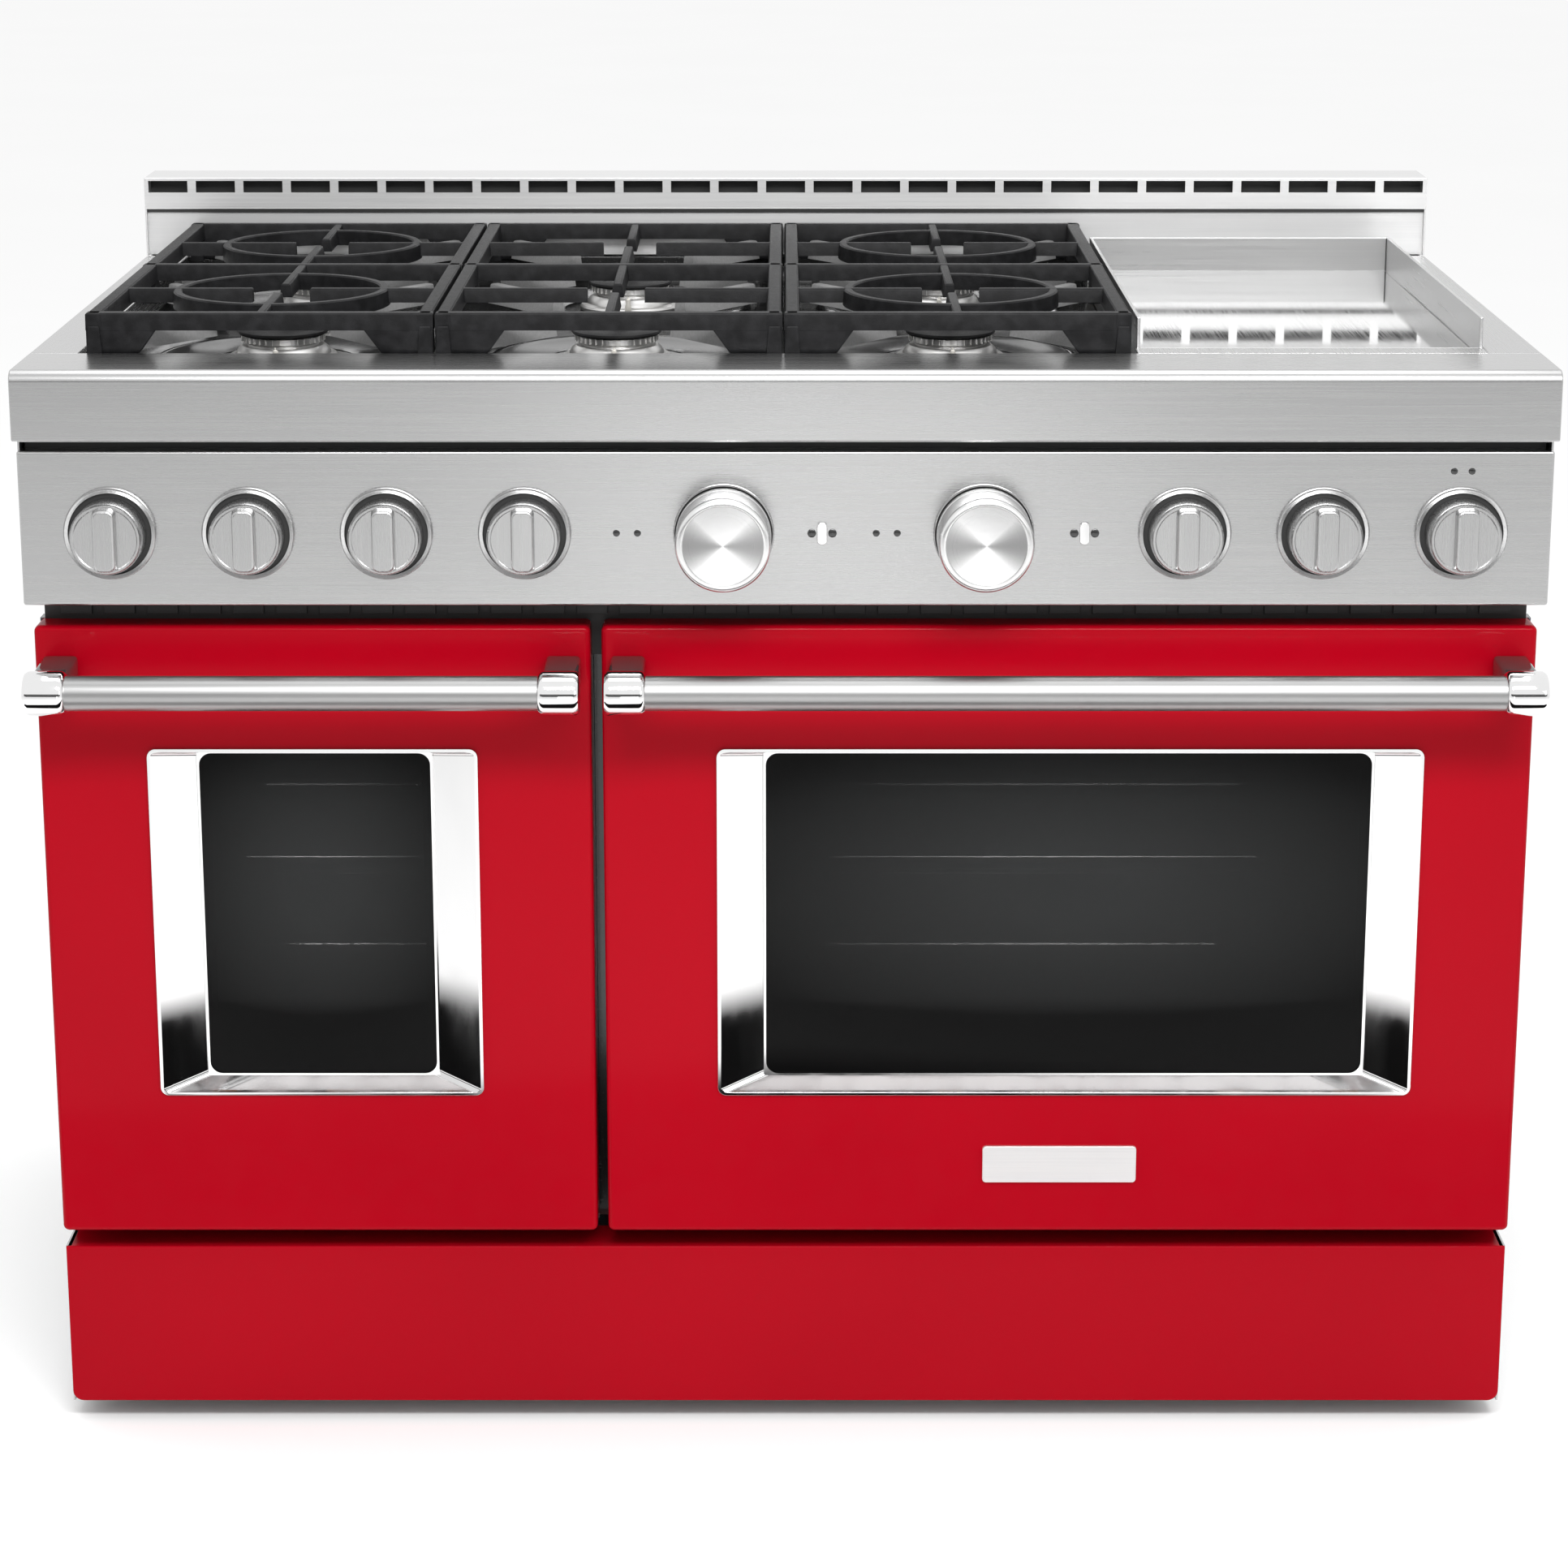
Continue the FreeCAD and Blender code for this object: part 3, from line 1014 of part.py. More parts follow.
def griddle_plate():
    wall = "dims.plate"
    return make_box("griddle_plate", (f"at.griddle_low + {wall}", f"at.griddle_high - {wall}"),
                    ("at.plate_y0", f"at.griddle_y1 - {wall}"),
                    ("at.plate_low", "at.griddle_plate_top"))


def grease_tray():
    """A lift-out trough in front of the griddle plate."""
    wall = "dims.plate"
    gap = "dims.curved_gap"
    x = (f"at.griddle_low + {wall} + {gap}", f"at.griddle_high - {wall} - {gap}")
    y = (f"at.griddle_y0 + {wall} + {gap}", f"at.plate_y0 - {gap}")
    high = "at.griddle_plate_top - dims.tray_sink"
    outer = make_box("tray_outer", x, y, (f"{high} - dims.trough_tall", high))
    inner = make_box("tray_inner", (f"{x[0]} + dims.sheet", f"{x[1]} - dims.sheet"),
                     (f"{y[0]} + dims.sheet", f"{y[1]} - dims.sheet"),
                     (f"{high} - dims.trough_tall + dims.sheet", f"{high} + 1"))
    return cut("grease_tray", outer, [inner])


# ---------------------------------------------------------------- controls
small_knobs = {f"burner_knob_{i + 1}": f"(at.knob_pitch * {i} - at.griddle_knob_x)"
               for i in range(4)}
small_knobs |= {f"burner_knob_{i + 5}": f"(at.griddle_knob_x - at.knob_pitch * {2 - i})"
                for i in range(2)}
small_knobs["griddle_knob"] = "at.griddle_knob_x"
oven_knobs = {"small_oven_knob": "at.oven_knob_left", "large_oven_knob": "at.oven_knob_right"}


def small_knob(name, x):
    """A round skirt with a raised upright grip and a blind bore for the valve stem."""
    bore = "dims.stem_half + dims.running"
    tip = "-(dims.knob_stand + dims.stem_out)"
    body = spin_body(name, [
        (bore, "-dims.knob_stand"), ("dims.skirt_radius", "-dims.knob_stand"),
        ("dims.skirt_radius", "dims.knob_bevel - dims.skirt_tall"),
        ("dims.knob_face_radius", "-dims.skirt_tall"),
        ("0", "-dims.skirt_tall"), ("0", tip), (bore, tip)])
    grip = rectangle(("-dims.grip_wide / 2", "dims.grip_wide / 2"),
                     ("-dims.grip_high / 2", "dims.grip_high / 2"))
    pad(body, outline_sketch(body, name + "_grip", "XZ_Plane", [grip], "dims.skirt_tall - 1"),
        "dims.grip_out + 1")
    out = -value("skirt_tall") - value("grip_out")
    round_edges(body, lambda edge: abs(edge.BoundBox.YMin - out) < 0.01
                and abs(edge.BoundBox.YMax - out) < 0.01, "dims.grip_round")
    return place(body, x, "at.panel_face", "at.knob_height")


def oven_knob(name, x):
    """A tall drum with a dished face."""
    bore = "dims.stem_half + dims.running"
    tip = "-(dims.oven_knob_stand + dims.stem_out)"
    body = spin_body(name, [
        (bore, "-dims.oven_knob_stand"), ("dims.oven_knob_radius", "-dims.oven_knob_stand"),
        ("dims.oven_knob_radius", "dims.knob_bevel - dims.oven_knob_out"),
        ("dims.oven_knob_radius - dims.knob_bevel", "-dims.oven_knob_out"),
        ("dims.oven_knob_face", "-dims.oven_knob_out"),
        ("dims.oven_knob_face - 1", "dims.dish_deep - dims.oven_knob_out"),
        ("0", "dims.dish_deep - dims.oven_knob_out"), ("0", tip), (bore, tip)])
    return place(body, x, "at.panel_face", "at.knob_height")


def knob_bezels():
    rings = []
    for name, x in (small_knobs | oven_knobs).items():
        wide = "dims.oven_bezel_outer" if name in oven_knobs else "dims.bezel_outer"
        spot = (x, "at.panel_face - dims.bezel_thick", "at.knob_height")
        outer = make_rod(name + "_ring", "Y", spot, wide, "dims.bezel_thick")
        inner = make_rod(name + "_ring_bore", "Y", (x, "at.panel_face - dims.bezel_thick - 1",
                                                    "at.knob_height"),
                         "dims.bezel_inner", "dims.bezel_thick + 2")
        rings.append(cut(name + "_bezel", outer, [inner]))
    return group("knob_bezels", rings)


def gas_valves():
    """A valve block behind each knob, with the stem that the knob turns on."""
    valves = []
    for name, x in (small_knobs | oven_knobs).items():
        stand = "dims.oven_knob_stand" if name in oven_knobs else "dims.knob_stand"
        block = make_box(name + "_valve", (f"{x} - dims.valve_half", f"{x} + dims.valve_half"),
                         ("at.panel_face + dims.sheet + dims.valve_front",
                          "at.panel_face + dims.valve_back"),
                         ("at.knob_height - dims.valve_tall", "at.knob_height + dims.valve_tall"))
        stem = make_rod(name + "_stem", "Y", (x, f"at.panel_face - {stand} - dims.stem_out + 1",
                                              "at.knob_height"),
                        "dims.stem_half", f"{stand} + dims.stem_out - 1 + dims.valve_back / 2")
        valves.append(join(name + "_gas_valve", [block, stem]))
    return group("gas_valves", valves)


lens_spots = {"small_oven_low": ("at.oven_knob_left - dims.wide * dims.far_lens_share", "0"),
              "small_oven_high": ("at.oven_knob_left - dims.wide * dims.near_lens_share", "0"),
              "large_oven_low": ("at.oven_knob_right - dims.wide * dims.far_lens_share", "0"),
              "large_oven_high": ("at.oven_knob_right - dims.wide * dims.near_lens_share", "0"),
              "griddle_low": ("at.griddle_knob_x - dims.lens_aside", "dims.lens_rise"),
              "griddle_high": ("at.griddle_knob_x + dims.lens_aside", "dims.lens_rise")}


def indicator_lenses():
    lenses = [make_rod(f"{name}_lens", "Y", (x, "at.panel_face - dims.lens_out",
                                             f"at.knob_height + {up}"),
                       "dims.lens_radius", "dims.lens_deep")
              for name, (x, up) in lens_spots.items()]
    return group("indicator_lenses", lenses)


def light_button(name, x):
    """A small oblong push button that slides in its hole in the panel."""
    body = doc.addObject("PartDesign::Body", name)
    outline = rectangle((f"{x} - dims.button_wide / 2", f"{x} + dims.button_wide / 2"),
                        ("at.knob_height - dims.button_high / 2",
                         "at.knob_height + dims.button_high / 2"))
    pad(body, outline_sketch(body, name + "_outline", "XZ_Plane", [outline],
                             "-(at.panel_face - dims.button_out)"), "dims.button_deep", True)
    round_edges(body, lambda edge: along(edge, "Y"), "dims.button_wide * dims.button_round")
    return body


def control_panel():
    """The front control sheet with folded returns and a hole for each stem, lens and button."""
    wall = "dims.sheet"
    face = make_box("panel_sheet", ("dims.panel_end_set - at.half", "at.half - dims.panel_end_set"),
                    ("at.panel_face", f"at.panel_face + {wall}"), ("at.panel_low", "at.panel_high"))
    inside = ("dims.loose - at.side_in", "at.side_in - dims.loose")
    back = (f"at.panel_face + {wall}", "at.panel_face + dims.panel_return")
    returns = [make_box("panel_top", inside, back, (f"at.panel_high - {wall}", "at.panel_high")),
               make_box("panel_foot", inside, back, ("at.panel_low", f"at.panel_low + {wall}"))]
    start = "at.panel_face - 1"
    holes = [make_rod(name + "_hole", "Y", (x, start, "at.knob_height"), "dims.stem_half + 1",
                      f"{wall} + 2") for name, x in (small_knobs | oven_knobs).items()]
    holes += [make_rod(name + "_lens_hole", "Y", (x, start, f"at.knob_height + {up}"),
                       "dims.lens_radius", f"{wall} + 2") for name, (x, up) in lens_spots.items()]
    gap = "dims.curved_gap"
    for name in ("left", "right"):
        x = f"at.button_{name}"
        holes.append(make_box(
            f"{name}_button_hole",
            (f"{x} - dims.button_wide / 2 - {gap}", f"{x} + dims.button_wide / 2 + {gap}"),
            (start, f"at.panel_face + {wall} + 1"),
            (f"at.knob_height - dims.button_high / 2 - {gap}",
             f"at.knob_height + dims.button_high / 2 + {gap}")))
    return cut("control_panel", join("panel_folded", [face] + returns), holes)


# ---------------------------------------------------------------- gas and power
def gas_manifold():
    """The pipe behind the knobs, its run to the back and the threaded inlet."""
    radius = "dims.pipe_radius"
    y, z, x = "at.pipe_y", "at.knob_height", "at.pipe_x"
    back, low = "at.pipe_back", "dims.inlet_height"
    runs = [make_rod("pipe_across", "X", ("dims.pipe_end - at.side_in", y, z), radius,
                     "at.pipe_x + at.side_in - dims.pipe_end"),
            make_rod("pipe_to_rear", "Y", (x, y, z), radius, f"{back} - {y}"),
            make_rod("pipe_down", "Z", (x, back, low), radius, f"{z} - {low}"),
            make_rod("pipe_inlet", "Y", (x, back, low), radius, f"at.inlet_start - {back}"),
            make_rod("inlet_fitting", "Y", (x, "at.inlet_start", low), "dims.inlet_radius",
                     "dims.inlet_long"),
            make_ball("pipe_bend_front", (x, y, z), radius),
            make_ball("pipe_bend_rear", (x, back, z), radius),
            make_ball("pipe_bend_low", (x, back, low), radius)]
    return join("gas_manifold", runs)


def power_inlet():
    """The terminal box on the back, with a hole for the supply cord."""
    half = "dims.power_wide / 2"
    box = make_box("power_box", (f"at.power_x - {half}", f"at.power_x + {half}"),
                   ("at.rear_face + dims.sheet", "at.rear_face + dims.sheet + dims.power_deep"),
                   ("dims.power_height - dims.power_tall / 2",
                    "dims.power_height + dims.power_tall / 2"))
    hole = make_rod("power_gland", "Z", ("at.power_x",
                                         "at.rear_face + dims.sheet + dims.power_deep / 2",
                                         "dims.power_height - dims.power_tall / 2 - 1"),
                    "dims.power_hole * dims.gland_share", "dims.power_tall / 2")
    return cut("power_inlet", box, [hole])


# ---------------------------------------------------------------- the list of sub-parts
nodes = {
    "base_pan": base_pan(), "leveling_feet": leveling_feet(), "rear_panel": rear_panel(),
    "front_frame": front_frame(), "kick_panel": kick_panel(), "landing_ledge": landing_ledge(),
    "cooktop_pan": cooktop_pan(), "back_guard": back_guard(),
    "small_oven_liner": oven_liner("small"), "large_oven_liner": oven_liner("large"),
    "oven_insulation": oven_insulation(), "oven_racks": oven_racks(),
    "tube_burners": tube_burners(), "oven_lamps": oven_lamps(),
    "convection_fan": convection_fan(), "fan_cover": fan_cover(), "fan_motor": fan_motor(),
    "door_gaskets": door_gaskets(), "hinge_brackets": hinge_brackets(),
    "burner_bases": burner_bases(), "burner_caps": burner_caps(),
    "burner_igniters": burner_igniters(), "griddle_surround": griddle_surround(),
    "griddle_plate": griddle_plate(), "grease_tray": grease_tray(),
    "knob_bezels": knob_bezels(), "gas_valves": gas_valves(),
    "indicator_lenses": indicator_lenses(), "control_panel": control_panel(),
    "gas_manifold": gas_manifold(), "power_inlet": power_inlet(), "badge_plate": badge_plate(),
}
for side, sign in (("left", "-1"), ("right", "1")):
    nodes[f"{side}_side_panel"] = side_panel(side, sign)
    nodes[f"{side}_light_button"] = light_button(f"{side}_light_button", f"at.button_{side}")
    for maker in (door_skin, door_liner, window_bezel, window_glass, handle_bar, handle_mounts):
        nodes[f"{side}_{maker.__name__}"] = maker(side)
for column, (name, ringed) in enumerate((("left_grate", True), ("middle_grate", False),
                                         ("right_grate", True))):
    nodes[name] = grate(name + "_casting", column, ringed)
for name, x in small_knobs.items():
    nodes[name] = small_knob(name, x)
for name, x in oven_knobs.items():
    nodes[name] = oven_knob(name, x)

# ---------------------------------------------------------------- checks and files
for name, item in nodes.items():
    item.Label = name
doc.recompute()
for item in doc.Objects:
    assert not {"Invalid", "Error"} & set(item.State), f"{item.Name}: {item.State}"
os.makedirs("parts", exist_ok=True)
for name, item in nodes.items():
    assert item.Label == name, f"{name} is labelled {item.Label}"
    assert not item.Shape.isNull() and item.Shape.isValid(), name
    item.Shape.exportStep(f"parts/{name}.step")
print(len(nodes), "sub-parts")
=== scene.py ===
import json
import math
import bmesh
import bpy
from mathutils import Matrix, Vector


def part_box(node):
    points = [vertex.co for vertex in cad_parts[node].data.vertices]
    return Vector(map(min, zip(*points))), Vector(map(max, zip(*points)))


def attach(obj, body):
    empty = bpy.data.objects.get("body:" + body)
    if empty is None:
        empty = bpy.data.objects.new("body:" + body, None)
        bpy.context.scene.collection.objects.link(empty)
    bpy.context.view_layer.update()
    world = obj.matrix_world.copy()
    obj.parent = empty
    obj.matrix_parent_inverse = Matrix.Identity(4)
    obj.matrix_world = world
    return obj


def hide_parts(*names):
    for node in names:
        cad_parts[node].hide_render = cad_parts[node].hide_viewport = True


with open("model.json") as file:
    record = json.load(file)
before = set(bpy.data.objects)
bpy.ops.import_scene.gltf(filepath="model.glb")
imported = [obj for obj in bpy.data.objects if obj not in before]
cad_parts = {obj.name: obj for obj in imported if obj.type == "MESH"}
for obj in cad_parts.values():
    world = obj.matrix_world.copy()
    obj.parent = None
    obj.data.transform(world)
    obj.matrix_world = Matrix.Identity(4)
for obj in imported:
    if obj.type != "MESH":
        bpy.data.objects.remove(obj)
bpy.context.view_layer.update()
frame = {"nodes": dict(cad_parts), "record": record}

scene = bpy.context.scene
nodes = frame["nodes"]
joints = frame["record"]["behaviour"]["joints"]
jointSpots = {joint["name"]: Vector(joint["pos_m"]) for joint in joints if "pos_m" in joint}
up, across, outward = Vector((0, 0, 1)), Vector((1, 0, 0)), Vector((0, -1, 0))
hair = 1e-5
sides = ("left", "right")
print("frame loaded")


class Wire:
    # a socket whose sums read like expressions
    def __init__(self, shade, socket):
        self.shade = shade
        self.socket = socket

    def sum(self, operation, first, second=None):
        return self.shade.node("ShaderNodeMath", {"operation": operation}, {0: first, 1: second})

    def __add__(self, other):
        return self.sum("ADD", self, other)

    def __radd__(self, other):
        return self.sum("ADD", other, self)

    def __sub__(self, other):
        return self.sum("SUBTRACT", self, other)

    def __rsub__(self, other):
        return self.sum("SUBTRACT", other, self)

    def __mul__(self, other):
        return self.sum("MULTIPLY", self, other)

    def __rmul__(self, other):
        return self.sum("MULTIPLY", other, self)

    def __truediv__(self, other):
        return self.sum("DIVIDE", self, other)

    def __gt__(self, other):
        return self.sum("GREATER_THAN", self, other)

    def __lt__(self, other):
        return self.sum("LESS_THAN", self, other)

    def __pow__(self, other):
        return self.sum("POWER", self, other)

    def __abs__(self):
        return self.sum("ABSOLUTE", self)


class Shade:
    # a material; every node but the surface comes from one method
    def __init__(self, name):
        self.material = bpy.data.materials.new(name)
        self.material.use_nodes = True
        self.tree = self.material.node_tree
        self.surface = self.tree.nodes["Principled BSDF"]

    def node(self, kind, settings=None, sockets=None, output=0):
        made = self.tree.nodes.new(kind)
        for key, setting in (settings or {}).items():
            setattr(made, key, setting)
        for key, value in (sockets or {}).items():
            self.feed(made.inputs[key], value)
        return Wire(self, made.outputs[output])

    def feed(self, socket, value):
        if isinstance(value, Wire):
            self.tree.links.new(value.socket, socket)
        elif value is not None:
            socket.default_value = value

    def where(self, stretch=(1, 1, 1)):
        spot = self.node("ShaderNodeTexCoord", output="Object")
        return self.node("ShaderNodeMapping", {}, {"Vector": spot, "Scale": stretch})

    def axis(self, letter, spot=None):
        return self.node("ShaderNodeSeparateXYZ", {}, {0: spot or self.where()}, letter)

    def noise(self, scale, stretch=(1, 1, 1), detail=3.0, rough=0.5):
        return self.node("ShaderNodeTexNoise", {},
                         {"Vector": self.where(stretch), "Scale": scale, "Detail": detail,
                          "Roughness": rough})

    def span(self, value, low, high, newLow, newHigh):
        return self.node("ShaderNodeMapRange", {"clamp": True},
                         {0: value, 1: low, 2: high, 3: newLow, 4: newHigh})

    def mix(self, factor, first, second):
        return self.node("ShaderNodeMix", {"data_type": "RGBA"}, {0: factor, 6: first, 7: second}, 2)

    def bump(self, height, strength, distance, normal=None):
        return self.node("ShaderNodeBump", {}, {"Height": height, "Strength": strength,
                                                "Distance": distance, "Normal": normal})

    def done(self, **sockets):
        names = {"color": "Base Color", "rough": "Roughness", "metal": "Metallic",
                 "coat": "Coat Weight", "coatRough": "Coat Roughness", "alpha": "Alpha",
                 "normal": "Normal", "glow": "Emission Color", "glowPower": "Emission Strength",
                 "specular": "Specular IOR Level"}
        for key, value in sockets.items():
            self.feed(self.surface.inputs[names[key]], value)
        return self.material


def tone(red, green=None, blue=None):
    if green is None:
        return (red, red, red, 1)
    return (red, green, blue, 1)


def makeEnamel():
    shade = Shade("redEnamel")
    cloud = shade.noise(3.0, detail=2.0)
    peel = shade.noise(320, detail=1.0)
    dust = shade.noise(60, detail=4.0)
    return shade.done(color=shade.mix(shade.span(cloud, 0.3, 0.7, 0, 1), tone(0.315, 0.0008, 0.0075),
                                      tone(0.290, 0.0007, 0.0068)),
                      rough=shade.span(dust, 0.3, 0.7, 0.20, 0.27), coat=0.04, coatRough=0.05,
                      specular=0.05, normal=shade.bump(peel, 0.12, 0.0002))


def makeSteel(name, along, main=0.49, roughness=0.27, depth=0.000012):
    # streaks run along one axis: that axis is stretched least
    stretch = [900, 900, 900]
    stretch["XYZ".index(along)] = 6
    shade = Shade(name)
    streaks = shade.noise(1.0, stretch, detail=4.0, rough=0.65)
    cloud = shade.noise(4.0, detail=2.0)
    soft = shade.span(streaks, 0.3, 0.7, 0, 1)
    return shade.done(color=shade.mix(soft, tone(main * 0.965, main * 0.965, main * 0.97),
                                      tone(main * 1.03, main * 1.03, main * 1.025)),
                      metal=1.0, rough=soft * 0.06 + cloud * 0.05 + (roughness - 0.055),
                      normal=shade.bump(streaks, 0.35, depth))


def makeSpun():
    # the fine satin grain of turned steel
    main = 0.62
    shade = Shade("steelSpun")
    grain = shade.noise(700, detail=3.0)
    cloud = shade.noise(25, detail=2.0)
    return shade.done(color=shade.mix(shade.span(grain, 0.35, 0.65, 0, 1), tone(main * 0.94),
                                      tone(main * 1.05)),
                      metal=1.0, rough=cloud * 0.08 + 0.20, normal=shade.bump(grain, 0.15, 0.00002))


def makeChrome(name, main):
    shade = Shade(name)
    smear = shade.noise(40, (1, 1, 0.3), detail=4.0)
    return shade.done(color=shade.mix(smear, tone(main * 0.95), tone(main * 1.05)),
                      metal=1.0, rough=shade.span(smear, 0.35, 0.75, 0.03, 0.09),
                      normal=shade.bump(smear, 0.02, 0.0002))


def makeIron():
    shade = Shade("castIron")
    sand = shade.noise(900, detail=4.0, rough=0.7)
    lumps = shade.noise(90, detail=3.0)
    worn = shade.span(lumps, 0.4, 0.7, 0, 1)
    return shade.done(color=shade.mix(worn, tone(0.005, 0.005, 0.0055), tone(0.012, 0.012, 0.013)),
                      rough=shade.span(sand, 0.3, 0.7, 0.36, 0.54), specular=0.14,
                      normal=shade.bump(sand, 0.4, 0.0003, shade.bump(lumps, 0.3, 0.0008)))


def makePorcelain(name, main, fleck, amount=0.63, roughness=0.18):
    shade = Shade(name)
    flecks = shade.noise(520, detail=1.0) > amount
    waves = shade.noise(35, detail=2.0)
    return shade.done(color=shade.mix(flecks, main, fleck), rough=waves * 0.12 + roughness - 0.06,
                      coat=0.4, coatRough=0.08, normal=shade.bump(waves, 0.06, 0.0008))


def makeZinc():
    shade = Shade("zincSheet")
    crystals = shade.node("ShaderNodeTexVoronoi", {}, {"Vector": shade.where(), "Scale": 70}, "Color")
    glint = shade.node("ShaderNodeSeparateColor", {}, {0: crystals})
    streaks = shade.noise(1.0, (8, 300, 300), detail=3.0)
    return shade.done(color=shade.mix(glint, tone(0.42, 0.43, 0.44), tone(0.55, 0.56, 0.57)),
                      metal=1.0, rough=glint * 0.16 + streaks * 0.1 + 0.26,
                      normal=shade.bump(glint, 0.08, 0.0002))


def makeAluminium():
    shade = Shade("castAluminium")
    grit = shade.noise(800, detail=4.0)
    cloud = shade.noise(45, detail=2.0)
    return shade.done(color=shade.mix(cloud, tone(0.62, 0.61, 0.60), tone(0.76, 0.76, 0.75)),
                      metal=1.0, rough=grit * 0.2 + 0.25, normal=shade.bump(grit, 0.3, 0.0001))


def makePlain(name, grain, first, second, rough, spread, relief, metal=0.0, coat=0.0):
    # one grain drives colour, roughness and relief alike
    shade = Shade(name)
    field = shade.noise(**grain)
    return shade.done(color=shade.mix(field, first, second), rough=field * spread + rough,
                      metal=metal, coat=coat, normal=shade.bump(field, *relief))


def makeDark(name, main, roughness, coat=0.0):
    return makePlain(name, {"scale": 500}, tone(main * 0.8), tone(main * 1.3), roughness - 0.06,
                     0.12, (0.15, 0.0001), coat=coat)


def makeGlass(name, low, high):
    # a printed veil hides the edges of the oven and thins towards the middle; the colour is painted
    # light and shade, lighter in the middle and darker towards the edges and the bottom
    middle, half = (low + high) / 2, (high - low) / 2
    shade = Shade(name)
    film = shade.noise(12, detail=3.0)
    x = (shade.axis("X") - middle.x) * (0.8 / half.x)
    z = (shade.axis("Z") - (middle.z + half.z * 0.15)) * (1 / half.z)
    away = (x * x + z * z) ** 0.5
    veil = shade.span(away + film * 0.1, 0.25, 1.25, 0.56, 0.98)
    # painted shade: the glass colour darkens towards the edges and the bottom
    paintedGlassShade = shade.span(away, 0.2, 1.0, 0, 1) + shade.span(z, -1.0, -0.65, 1, 0)
    return shade.done(color=shade.mix(paintedGlassShade, tone(0.029, 0.030, 0.030), tone(0.003)),
                      rough=shade.span(film, 0.3, 0.7, 0.02, 0.05), alpha=veil, specular=0.06)


def makeRope():
    shade = Shade("sealRope")
    weave = shade.node("ShaderNodeTexWave", {"wave_type": "BANDS", "bands_direction": "DIAGONAL"},
                       {"Vector": shade.where(), "Scale": 260, "Distortion": 1.5})
    return shade.done(color=shade.mix(weave, tone(0.10), tone(0.30)), rough=0.9,
                      normal=shade.bump(weave, 0.7, 0.001))


def makeFloor():
    shade = Shade("paleFloor")
    cloud = shade.noise(1.5, detail=3.0)
    return shade.done(color=shade.mix(cloud, tone(0.93), tone(0.95)), rough=0.9, specular=0.0)


enamel = makeEnamel()
steelAcross = makeSteel("steelBrushedAcross", "X")
steelDeep = makeSteel("steelBrushedDeep", "Y")
steelUpright = makeSteel("steelBrushedUpright", "Z")
guardSteel = makeSteel("guardSteel", "X", 0.68, 0.46)
paleAcross = makeSteel("paleSteelAcross", "X", 0.58, 0.30)
paleDeep = makeSteel("paleSteelDeep", "Y", 0.58, 0.30)
barSteel = makeSteel("barSteel", "X", 0.40, 0.36)
badgeSteel = makeSteel("badgeSteel", "X", 0.86, 0.50)
mirrorSteel = makeSteel("steelMirror", "Y", 0.49, 0.065, 0.000001)
spunSteel = makeSpun()
chrome = makeChrome("polishedChrome", 0.84)
trimChrome = makeChrome("trimChrome", 0.72)
iron = makeIron()
greyIron = makeDark("greyIron", 0.20, 0.38)
# painted shade: the handle posts get a near-black coated paint in place of chrome's reflections
paintedShadeChrome = makeDark("paintedShadeChrome", 0.035, 0.10, 0.3)
blackPorcelain = makePorcelain("blackPorcelain", tone(0.010), tone(0.05), 0.70, 0.16)
ovenPorcelain = makePorcelain("ovenPorcelain", tone(0.030, 0.034, 0.045), tone(0.30, 0.32, 0.36))
zinc = makeZinc()
wool = makePlain("mineralWool", {"scale": 1.0, "stretch": (60, 400, 400), "detail": 6.0, "rough": 0.7},
                 tone(0.42, 0.36, 0.22), tone(0.75, 0.70, 0.55), 0.95, 0.0, (0.8, 0.003))
aluminium = makeAluminium()
ceramic = makePlain("whiteCeramic", {"scale": 150, "detail": 2.0}, tone(0.80, 0.77, 0.70),
                    tone(0.88, 0.86, 0.80), 0.15, 0.1, (0.05, 0.0003))
brass = makePlain("machinedBrass", {"scale": 1.0, "stretch": (900, 60, 900)}, tone(0.60, 0.42, 0.16),
                  tone(0.78, 0.58, 0.26), 0.2, 0.2, (0.2, 0.00005), metal=1.0)
rope = makeRope()
blackPaint = makeDark("blackPaint", 0.012, 0.5)
lensBlack = makeDark("lensBlack", 0.015, 0.12, 0.5)
blackPlastic = makeDark("blackPlastic", 0.03, 0.45)
fritBlack = makeDark("fritBlack", 0.004, 0.3)
print("materials made")


def boxInto(bm, low, high):
    made = bmesh.ops.create_cube(bm, size=1)["verts"]
    low, high = Vector(low), Vector(high)
    bmesh.ops.scale(bm, vec=high - low, verts=made)
    bmesh.ops.translate(bm, vec=(high + low) / 2, verts=made)
    return made


def edgesOf(verts):
    return list({edge for vert in verts for edge in vert.link_edges})


def bevel(bm, edges, width, segments=3):
    bmesh.ops.bevel(bm, geom=list(edges), offset=width, offset_type="OFFSET", segments=segments,
                    profile=0.5, affect="EDGES", material=-1, clamp_overlap=True)


def softBox(bm, low, high, radius=0.001, segments=3):
    made = boxInto(bm, low, high)
    bevel(bm, edgesOf(made), radius, segments)


def alongAxis(edge, letter):
    span = edge.verts[1].co - edge.verts[0].co
    return abs(span["XYZ".index(letter)]) > 0.999 * span.length


def lathe(bm, outline, centre, axis, steps=64):
    # outline: (radius, height along the axis) pairs, from one end of the axis to the other
    axis, centre = Vector(axis), Vector(centre)
    side = axis.orthogonal().normalized()
    verts = [bm.verts.new(centre + side * radius + axis * height) for radius, height in outline]
    edges = [bm.edges.new(pair) for pair in zip(verts, verts[1:])]
    before = set(bm.faces)
    bmesh.ops.spin(bm, geom=verts + edges, cent=centre, axis=axis, angle=math.tau, steps=steps,
                   use_merge=True, use_duplicate=False)
    made = [face for face in bm.faces if face not in before]
    corners = list({vert for face in made for vert in face.verts})
    bmesh.ops.remove_doubles(bm, verts=corners, dist=1e-6)
    bmesh.ops.recalc_face_normals(bm, faces=[face for face in made if face.is_valid])


